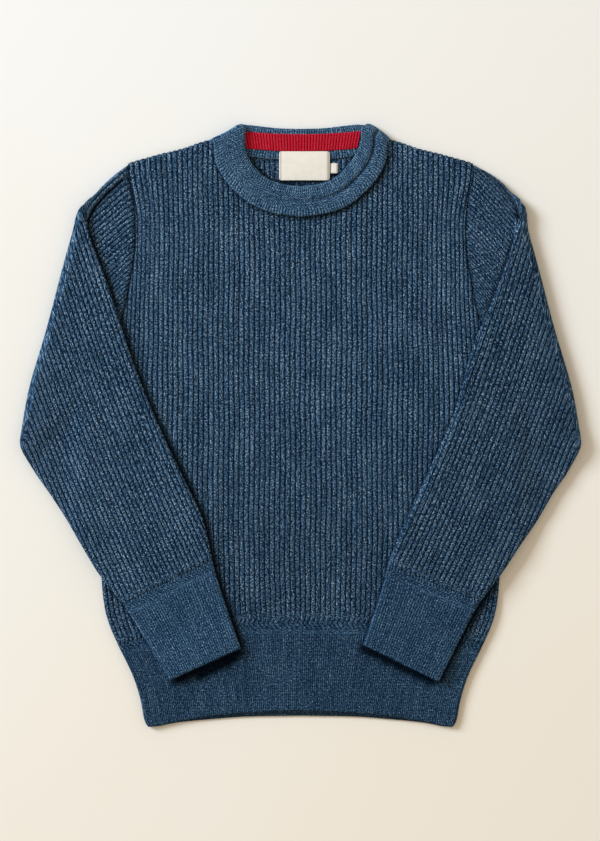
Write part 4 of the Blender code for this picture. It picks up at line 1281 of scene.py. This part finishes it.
def make_cuff(name, node_name, table, painted_falloff, mirror):
    """Both walls of a cuff from the sleeve's end to its open edge. The sleeve's ribs lean the other way
    here than the body's, so twice the slant that the stitches carry on is taken off again."""
    first = wall_shares(CUFF_RIBS * 6 + 1, CUFF_SPAN)
    shares, wall = around(first, wall_shares(61, CUFF_SPAN))
    rows = slanted_rows(CUFF_LENGTH, CUFF_STEP, CUFF_EDGE)
    lines = between_lines(smooth([straight(row, shares) for row in table], 40), rows)
    down, above = (np.linalg.norm(lines - lines[end], axis=-1) for end in (0, -1))
    spans = span_of(lines, len(first) - 1)
    edge = quarter_round(np.minimum(shares, 1 - shares) * spans, MID_HEIGHT)
    pitch = CUFF_SPAN / CUFF_STROKES
    phase, relief, strength = welt_phase(2 * shares - 1, CUFF_RIBS, down, CUFF_STROKES, pitch, -CUFF_LEAN)
    carried = 2 * UPPER_LEAN * (STROKE_ABOVE + np.minimum(down, STROKE_PAST)) / pitch
    phase = np.where(down < STROKE_PAST + STROKE_BELOW, phase - carried, phase)
    relief = relief * edge
    ridge = (HEM_BOTTOM + (HEM_TOP - HEM_BOTTOM) * rib(phase)) * relief * strength
    wave = 0.35 * np.sin(lines[..., 0] / 17 + lines[..., 1] / 23) - 0.35
    rounded = quarter_round(above, CUFF_EDGE)
    ridge = np.where(wall > 0, ridge + wave, CUFF_HIDDEN * (rib(phase) - 1)) * rounded
    thick = wall * edge * (MID_HEIGHT - CUFF_ROUND * (1 - rounded) + ridge)
    face = turned(lines, thick, np.full(len(lines), np.pi), cuff_sag(lines, above))

    lining_first = np.linspace(0, 1, CUFF_LINING_STEPS)
    lining_shares, lining_wall = around(lining_first, lining_first)
    in_lines = smooth([straight(row, lining_shares) for row in table], CUFF_LINING_ROWS)
    in_lines = drawn_in(in_lines, CUFF_LINING_STEPS - 1)
    in_rows = np.linspace(0, 1, len(in_lines))
    opening = HOLLOW / 2 + CUFF_LIP * (in_rows[:, None] == 1)
    hollow = lining_wall * opening * (np.minimum(lining_shares, 1 - lining_shares) > 0)
    in_above = np.linalg.norm(in_lines - in_lines[-1], axis=-1)
    lining = turned(in_lines, hollow, np.full(len(in_lines), np.pi), cuff_sag(in_lines, in_above))
    places = np.stack([shares * spans, down + LEFT_CUFF_CLOTH * mirror], -1)
    # Painted falloff of the light, even over the cuff.
    fields = {"rib": phase, "relief": relief, "painted_shade": painted_falloff + 0 * phase}
    return tube_piece(name, node_name, face, lining, rows, in_rows, places, fields, fine_wool, mirror)


left_cuff, left_cuff_area = make_cuff("left_cuff_rib", "left_cuff", LEFT_CUFF, 0.0, True)
right_cuff, right_cuff_area = make_cuff("right_cuff_rib", "right_cuff", RIGHT_CUFF, 0.15, False)

# %% [markdown]
# ## Neckband
#
# The neckband is a doubled strip of fine rib folded over and sewn down, so it is twice as thick as the body
# and its stitches run across it. From the front's middle round to the right shoulder the fold has slipped
# and shows as a trough with two rolls, and the stitches make chevrons along it. On the left it is one
# smooth roll.
#
# It is a rounded section carried along the neckline, turned over at each shoulder on to the back.

# %% Stations of the neckband
BAND_HALF = 2.8  # half its thickness
BAND_TURN = 4.45  # how far its middle lies from the axis of its turn at the shoulder
BAND_AXIS = BAND_HALF + BAND_TURN
BAND_STITCH, BAND_LEAN, BAND_LEAN_STOP = 3.0, 1.0, 9.0
# The trough's place and width are shares across the band. In the middle of the front it has a share of its
# depth.
TROUGH_AT, TROUGH_WIDE, TROUGH_DEEP, MID_TROUGH = 0.5, 0.07, 3.0, 0.45
# Painted shade along the trough: its darkness and width, as shares across the band.
TROUGH_SHADE, TROUGH_SHADE_WIDE = 0.75, 0.04
FRONT_RUN, BAND_CROWN, STITCH_HEIGHT, STITCH_LEVEL = 150.0, 0.9, 0.95, 0.6
BAND_CLOTH = 200.0  # sets its flecks apart from the body's
CORNER_STEPS = 25
# At the shoulder, on the right 1 and on the left -1: seam and free point, across and along, of the last
# front section and of the first back one, how far the front's free edge reaches out, and how far the turned
# edge sags in its middle and drops at its free end.
FRONT_CORNER = {1: (*BAND_SEAM_END, 72.6, 358.3), -1: (*BAND_SEAM_END, 65.6, 358.8)}
BACK_CORNER = {1: (*BAND_SEAM_END, 79.2, 362.9), -1: (*BAND_SEAM_END, 68.2, 363.4)}
CORNER_REACH = {1: 6.0, -1: -1.0}
CORNER_SAG = {1: -1.2, -1: 1.8}
CORNER_DROP = {1: 1.4, -1: 2.6}
REACH_START, REACH_RUN, DROP_WIDE = 312.0, 45.0, 0.13


def band_half(side_sign):
    """Half the neckband, from the centre front to the centre back: seam point, free point, height of the
    middle at both, and the turn about the shoulder. The free edge reaches farther out on the right."""
    front_rows = smooth(BAND_FRONT, 26)
    front_rows[:, 2] += CORNER_REACH[side_sign] * soft_step((front_rows[:, 3] - REACH_START) / REACH_RUN)
    front_corner, back_corner = FRONT_CORNER[side_sign], BACK_CORNER[side_sign]
    seam, free = np.reshape(front_corner, (2, 2))
    corner = np.tile([*seam, *free, BAND_AXIS, BAND_AXIS], (CORNER_STEPS, 1))
    share = soft_step(np.linspace(0, 1, CORNER_STEPS))[:, None]
    corner[:, :4] += share * (np.array(back_corner) - np.array(front_corner))
    back_rows = smooth([back_corner, *BAND_BACK], 30)
    back_rows = np.column_stack([back_rows, np.full((len(back_rows), 2), BAND_AXIS)])
    front_rows[:, 4:] -= BAND_TURN
    lead = front_rows[-1] + np.linspace(0, 1, 8)[1:-1, None] * (corner[0] - front_rows[-1])
    stations = np.concatenate([front_rows, lead, corner, back_rows[1:]])
    turning = np.linspace(0, np.pi, CORNER_STEPS)
    before, after = len(front_rows) + len(lead), len(back_rows) - 1
    return stations, np.concatenate([np.zeros(before), turning, np.full(after, np.pi)])


def even_stations(stations, turn, count):
    """The same stations at even steps, measured down the middle of the band's outside."""
    middle = (stations[:, :2] + stations[:, 2:4]) / 2
    travel = np.linalg.norm(np.diff(middle, axis=0), axis=1) + BAND_AXIS * np.diff(turn)
    at = np.concatenate([[0], np.cumsum(travel)])
    wanted = np.linspace(0, at[-1], count)
    columns = [np.interp(wanted, at, column) for column in stations.T]
    return np.stack(columns, 1), np.interp(wanted, at, turn), wanted


# %% Section of the neckband
def band_face(stations, turn, travel, side_sign):
    """The section at every station. Its height off the band's middle is a quarter circle in from both
    edges, with a low crown between them, less the trough's bell, and the stitches stand on it as slanted
    ridges."""
    edge_shares = np.array([0, 0.004, 0.018, 0.045])
    top = np.concatenate([edge_shares, np.linspace(0.08, 0.92, 34), 1 - edge_shares[::-1]])
    share = np.concatenate([top, [0.996, 0.982, 0.92, 0.7, 0.5, 0.3, 0.08, 0.018, 0.004]])
    upper = np.concatenate([np.ones(len(top)), -np.ones(len(share) - len(top))])
    seam, free = stations[:, :2], stations[:, 2:4]
    wide = np.linalg.norm(free - seam, axis=1)[:, None]
    edge = quarter_round(np.minimum(share, 1 - share) * wide, BAND_HALF)
    on_front = soft_step(1.25 - turn / np.pi * 2)[:, None]
    round_front = np.clip(travel / FRONT_RUN, 0, 1)[:, None]
    faded = 1 - 0.8 * soft_step((round_front - 0.02) / 0.4)
    grown = MID_TROUGH + (1 - MID_TROUGH) * soft_step(round_front / 0.45)
    depth = TROUGH_DEEP * (grown if side_sign > 0 else MID_TROUGH * faded)
    trough = depth * on_front * bell(share - TROUGH_AT, TROUGH_WIDE)
    crown = BAND_CROWN * (1 - (2 * share - 1) ** 2) * on_front
    lean = BAND_LEAN * np.minimum(np.abs(share - TROUGH_AT) * wide, BAND_LEAN_STOP)
    lean = lean * np.where(upper > 0, on_front, 0)
    phase = (side_sign * travel[:, None] - lean) / BAND_STITCH
    relief = edge * np.where(upper > 0, on_front, 1 - on_front)
    stitches = STITCH_HEIGHT * (rib(phase) - STITCH_LEVEL) * relief
    outside = (crown - trough) * edge * (upper > 0)
    offset = upper * (BAND_HALF * edge + outside + stitches)
    # Painted shade in the trough, on the outside only.
    painted_shade = TROUGH_SHADE * depth / TROUGH_DEEP * on_front * bell(share - TROUGH_AT, TROUGH_SHADE_WIDE)
    painted_shade = painted_shade * (upper > 0) + 0 * phase
    middle = stations[:, 4:5] + share * (stations[:, 5:6] - stations[:, 4:5])
    plan = seam[:, None] + share[:, None] * (free - seam)[:, None]
    out = np.stack([(free - seam)[:, 1], (seam - free)[:, 0]], 1) / wide
    radius = BAND_TURN + offset
    reach = radius - CORNER_SAG[side_sign] * np.sin(np.pi * share)
    reach = reach - CORNER_DROP[side_sign] * bell(1 - share, DROP_WIDE)
    plan = plan + (reach * np.sin(turn)[:, None])[..., None] * out[:, None]
    height = middle + radius * np.cos(turn)[:, None]
    places = np.stack([phase * BAND_STITCH, share * wide + 0 * phase + BAND_CLOTH], -1)
    return np.concatenate([plan, height[..., None]], -1), phase, relief, painted_shade, places


# %% Neckband
BAND_STATIONS = 420
right, left = (
    band_face(*even_stations(*band_half(sign), BAND_STATIONS), sign) for sign in (1, -1)
)
mirrored = [left[0][1:-1][::-1] * (-1, 1, 1), *[grid[1:-1][::-1] for grid in left[1:]]]
ring, phase, relief, painted_shade, places = (
    np.concatenate([one, other]) for one, other in zip(right, mirrored, strict=True)
)
numbers = np.arange(ring.shape[0] * ring.shape[1]).reshape(ring.shape[:2])
numbers = np.concatenate([numbers, numbers[:1]])
numbers = np.concatenate([numbers, numbers[:, :1]], 1)
neckband = make_piece(
    "neckband_rib", ring.reshape(-1, 3), grid_triangles(numbers), places.reshape(-1, 2),
    {"rib": phase.ravel(), "relief": relief.ravel(), "painted_shade": painted_shade.ravel()}, band_wool,
)
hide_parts("neckband")
band_length = 2 * even_stations(*band_half(-1), BAND_STATIONS)[2][-1] * METRES_PER_MM
print("neckband round its middle", round(band_length, 3), "m")

# %% [markdown]
# ## Facing
#
# The back of the neckband is faced with a strip of red wool in a fine rib, its ridges fanned a little by
# the curve. The red is a plain dye, so its colour only varies with the light on the stitches, and the
# grooves are painted a dark red as shade.

# %% Red facing
FACING_RIBS = 41
FACING_HALF = 73.0
FACING_LOW, FACING_HIGH, FACING_CURVE, FACING_TAPER = 331.2, 351.9, 4.0, 0.06
FACING_SEAT = 2 * BAND_HALF + SEAM_GAP
FACING_LIFT, FACING_BASE, FACING_RIB, FACING_EDGE = 0.3, 0.5, 0.9, 1.2
RED = ((0.36, "#991020"), (0.56, "#c52236"), (0.78, "#dc4252"))
# Dark red is the colour of the painted shade in its grooves.
red_wool = marled_wool("red_wool_fine_rib", arm=1.2, groove=0.9, marl=RED, contrast=0.5, dark="#560813")


def facing_plan(columns, rows):
    """Across and along of the facing's grid, curved up towards its ends and narrower at its lower edge."""
    low, high = (edge + FACING_CURVE * columns**2 for edge in (FACING_LOW, FACING_HIGH))
    across = columns * FACING_HALF / (1 + FACING_TAPER * (1 - rows[:, None]))
    along = low + rows[:, None] * (high - low)
    return across, along, np.minimum(along - low, high - along)


columns = np.linspace(-1, 1, 8 * FACING_RIBS + 1)
rows = np.array([0, 0.02, 0.06, 0.12, 0.25, 0.4, 0.55, 0.7, 0.82, 0.9, 0.95, 0.98, 1])
across, along, from_edge = facing_plan(columns, rows)
phase = (columns + 1) * FACING_RIBS / 2 + 0 * along
rim = quarter_round(from_edge, FACING_EDGE)
height = FACING_SEAT + FACING_LIFT + rim * (FACING_BASE + FACING_RIB * rib(phase))
face = np.stack([across, along, height], -1)
plain, ends = np.linspace(-1, 1, 21), np.array([0.0, 1.0])
in_across, in_along, _ = facing_plan(plain, ends)
lining = np.stack([in_across, in_along, np.full(in_along.shape, FACING_SEAT)], -1)
facing = shell(
    "neck_facing_rib", face, lining, (rows, columns, ends, plain), np.stack([across, along], -1),
    {"rib": phase, "relief": rim, "painted_shade": 0 * phase}, red_wool,
)
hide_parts("neck_facing")

# %% [markdown]
# ## Label and size tag
#
# The label is a folded tape of cream satin-weave polyester with rounded corners, sewn at its top edge, and
# a small white size tag shows beside it. Both are left bare, with only their weave, their end folds and a
# slight bow.

# %% Woven tape
THREAD_TONE, STAIN_SCALE, STAIN_SHARE = 0.14, 0.12, 0.5
TAPE_BUMP, TAPE_BUMP_DISTANCE = 0.5, 0.0002
# Colour of the painted shade in the tape's folds, along its stitching and towards its right end.
FOLD_SHADE = "#857d6c"


def woven_tape(name, base, thread):
    """Woven tape: a wave for each thread along, times one twice as long across, drawn coarser than real
    threads so that it shows, with a faint yellowing in patches and a brownish painted shade in the folds."""
    material, shader = new_material(name, Roughness=0.72, Sheen_Weight=0.1)
    add = functools.partial(node, material)
    place = add("UVMap", uv_map="cloth")[0]
    parts = add("SeparateXYZ", place)
    waves = []
    for part, length in ((parts[1], thread), (parts[0], 2 * thread)):
        turns = add("Math", part, 2 * np.pi / length, operation="MULTIPLY")[0]
        waves.append(add("Math", turns, operation="SINE")[0])
    weave = add("Math", *waves, operation="MULTIPLY")[0]
    grain = add("Math", weave, THREAD_TONE, 0.5, operation="MULTIPLY_ADD")[0]
    stain = add("TexNoise", place, Scale=STAIN_SCALE, Detail=3.0)[0]
    stained = add("Math", stain, 0.5, operation="SUBTRACT")[0]
    tone = add("Math", stained, STAIN_SHARE, grain, operation="MULTIPLY_ADD")[0]
    colour = add("ValToRGB", tone, stops=((0.2, base[0]), (0.6, base[1])))[0]
    fold = add("Attribute", attribute_name="painted_shade")["Fac"]
    mixed = add("Mix", fold, data_type="RGBA", A_Color=colour, B_Color=linear(FOLD_SHADE))[2]
    bump = add("Bump", Height=grain, Strength=TAPE_BUMP, Distance=TAPE_BUMP_DISTANCE)[0]
    material.node_tree.links.new(mixed, shader.inputs["Base Color"])
    material.node_tree.links.new(bump, shader.inputs["Normal"])
    return material


LABEL = (-25.6, 35.2, 296.6, 331.4)
LABEL_DROP = ((332.0, 5.9), (321.0, 5.9), (308.0, 5.2), (297.6, 4.7))  # along, height of the back
TAG = (35.5, 44.9, 305.2, 317.2)
TAPE_THICK = 0.8
FOLD_WIDE, STITCHED_WIDE, STITCH_STEP = 0.55, 0.4, 1.6
TAG_SEAT = WALL + SEAM_GAP + RIB_TOP
cream_tape = woven_tape("cream_woven_polyester_tape", ("#dbd6c7", "#efebdf"), 1.0)
white_tape = woven_tape("white_woven_polyester_tape", ("#ddd9cc", "#f1eee4"), 0.8)


def tape(name, node_name, box, back_height, corner, fold, material, bow):
    """A tape's shell: a grid over its box with the corners drawn in as quarter circles, a bowed face, a
    shallow line where each end is folded under, and a stitched line along the lower edge."""
    left, right, low, high = box
    u = np.concatenate([[0, 0.01, 0.03, 0.06], np.linspace(0.09, 0.91, 40), [0.94, 0.97, 0.99, 1]])
    v = np.concatenate([[0, 0.02, 0.05, 0.09], np.linspace(0.14, 0.86, 18), [0.91, 0.95, 0.98, 1]])
    across = left + u * (right - left) + 0 * v[:, None]
    along = low + v[:, None] * (high - low) + 0 * u
    from_end = np.minimum(across - left, right - across)
    drawn = corner * (1 - quarter_round(from_end, corner))
    middle, half = (low + high) / 2, (high - low) / 2
    along = middle + (along - middle) * (half - drawn) / half
    back = back_height(along)
    lift = bow * np.sin(np.pi * u) * np.sin(np.pi * v[:, None]) ** 0.7
    creases = bell(from_end - 0.9 * fold, FOLD_WIDE) * (from_end < 3 * fold)
    thread = 0.6 + 0.4 * np.sin(across * 2 * np.pi / STITCH_STEP)
    stitched = bell(along - low - fold, STITCHED_WIDE) * thread
    right_end_shade = soft_step((across - right + 2.4 * fold) / (2.4 * fold))
    # Painted shade in the end folds, along the stitched line and towards the right end.
    painted_shade = np.clip(0.75 * creases + 0.5 * stitched + 0.4 * right_end_shade, 0, 1)
    top = back + TAPE_THICK + lift - 0.3 * creases - 0.15 * stitched
    face = np.stack([across, along, top], -1)
    back_face = np.stack([across, along, back + 0.4 * lift], -1)
    places = np.stack([across, along], -1)
    piece = shell(name, face, back_face[::5], (v, u, v[::5], u), places, {"painted_shade": painted_shade}, material)
    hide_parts(node_name)
    return piece


drop = smooth(LABEL_DROP)[::-1]
label = tape(
    "neck_label_tape", "neck_label", LABEL, lambda along: np.interp(along, drop[:, 0], drop[:, 1]),
    2.6, 2.4, cream_tape, 0.5,
)
tag = tape(
    "size_tag_tape", "size_tag", TAG, lambda along: TAG_SEAT + 0 * along, 0.8, 0.9, white_tape, 0.2
)

# %% [markdown]
# ## What each piece is
#
# Every piece rides on the one body, and says what size its cloth was cut or knitted to. A panel's cut is a
# rectangle less its armholes and neck, and a tube's is stated all round.

# %% Bodies and cuts
CUTS = (  # piece, width, length, area, what it rests on
    (front, 0.479, 0.604, front_area, ["back_body_rib"]),
    (back, 0.479, 0.604, back_area, []),
    (front_hem, 0.461, 0.108, front_hem_area, ["back_hem_rib"]),
    (back_hem, 0.461, 0.108, back_hem_area, []),
    (left_sleeve, 0.53, 0.52, left_sleeve_area, ["front_body_rib"]),
    (right_sleeve, 0.53, 0.52, right_sleeve_area, ["front_body_rib"]),
    (left_cuff, 0.24, 0.104, left_cuff_area, ["front_hem_rib"]),
    (right_cuff, 0.24, 0.104, right_cuff_area, ["front_hem_rib"]),
    (neckband, round(band_length, 3), 0.042, None, ["front_body_rib"]),
    (facing, 0.146, 0.021, None, ["neckband_rib"]),
    (label, 0.061, 0.035, None, ["neckband_rib"]),
    (tag, 0.0085, 0.012, None, ["back_body_rib"]),
)
for piece, width, length, area, rests in CUTS:
    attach(piece, "root")
    measured = "" if area is None else round(area, 4)
    print(piece.name, width, length, measured, flush=True)

# %% [markdown]
# ## Table, light and camera
#
# The garment lies on plain cream paper. One large soft light high on the upper left gives the ribs their
# shape and a short soft shadow to the lower right, and the pale surroundings fill the rest. The camera
# looks straight down from 3.6 m, at the picture's own scale.

# %% Table
PAPER = ("#f0f0ea", "#efe9da")
paper, shader = new_material("cream_paper", Roughness=0.85)
spot = node(paper, "TexCoord")["Object"]
parts = node(paper, "SeparateXYZ", spot)
# The paper is mottled, and a painted falloff of the light makes it a little darker and warmer towards the lower
# right.
mottle_and_painted_falloff = node(paper, "TexNoise", spot, Scale=1.6, Detail=4.0)[0]
for part, share in ((parts[1], -0.7), (parts[0], 0.3)):
    mottle_and_painted_falloff = node(paper, "Math", part, share, mottle_and_painted_falloff, operation="MULTIPLY_ADD")[0]
colour = node(paper, "ValToRGB", mottle_and_painted_falloff, stops=((0.1, PAPER[0]), (0.9, PAPER[1])))[0]
paper.node_tree.links.new(colour, shader.inputs["Base Color"])
HALF_TABLE = 3.0
mesh = bpy.data.meshes.new("table")
mesh.from_pydata(
    [(x * HALF_TABLE, y * HALF_TABLE, -0.0002) for x, y in ((-1, -1), (1, -1), (1, 1), (-1, 1))],
    [],
    [(0, 1, 2, 3)],
)
mesh.materials.append(paper)
table = bpy.data.objects.new("table", mesh)
bpy.context.scene.collection.objects.link(table)

# %% Light
scene = bpy.context.scene
scene.view_settings.view_transform = "Standard"
world = bpy.data.worlds.new("pale_room")
world.use_nodes = True
world.node_tree.nodes["Background"].inputs["Color"].default_value = linear("#ffeed9")
world.node_tree.nodes["Background"].inputs["Strength"].default_value = 0.6
scene.world = world


def soft_light(name, place, target, size, watts, colour):
    """A square area light that faces its target."""
    lamp = bpy.data.lights.new(name, "AREA")
    lamp.size = size
    lamp.energy = watts
    lamp.color = linear(colour)[:3]
    holder = bpy.data.objects.new(name, lamp)
    way = np.array(target) - np.array(place)
    holder.location = place
    holder.rotation_mode = "QUATERNION"
    holder.rotation_quaternion = Vector(way.tolist()).to_track_quat("-Z", "Y")
    scene.collection.objects.link(holder)


soft_light("window", (-5.3, 2.9, 3.9), (0, 0, 0), 3.0, 560, "#dfedff")

# %% Camera
PICTURE_SIZE = (600, 841)
MM_PER_PIXEL = 1.2
CAMERA_HEIGHT = 3.6
MID_CLOTH = 0.006
PICTURE_CENTRE = (-0.0006, 0.0057)
camera = bpy.data.cameras.new("camera")
camera.sensor_width = 36.0
picture_height = PICTURE_SIZE[1] * MM_PER_PIXEL * METRES_PER_MM
camera.lens = camera.sensor_width * (CAMERA_HEIGHT - MID_CLOTH) / picture_height
holder = bpy.data.objects.new("camera", camera)
holder.location = (*PICTURE_CENTRE, CAMERA_HEIGHT)
scene.collection.objects.link(holder)
scene.camera = holder
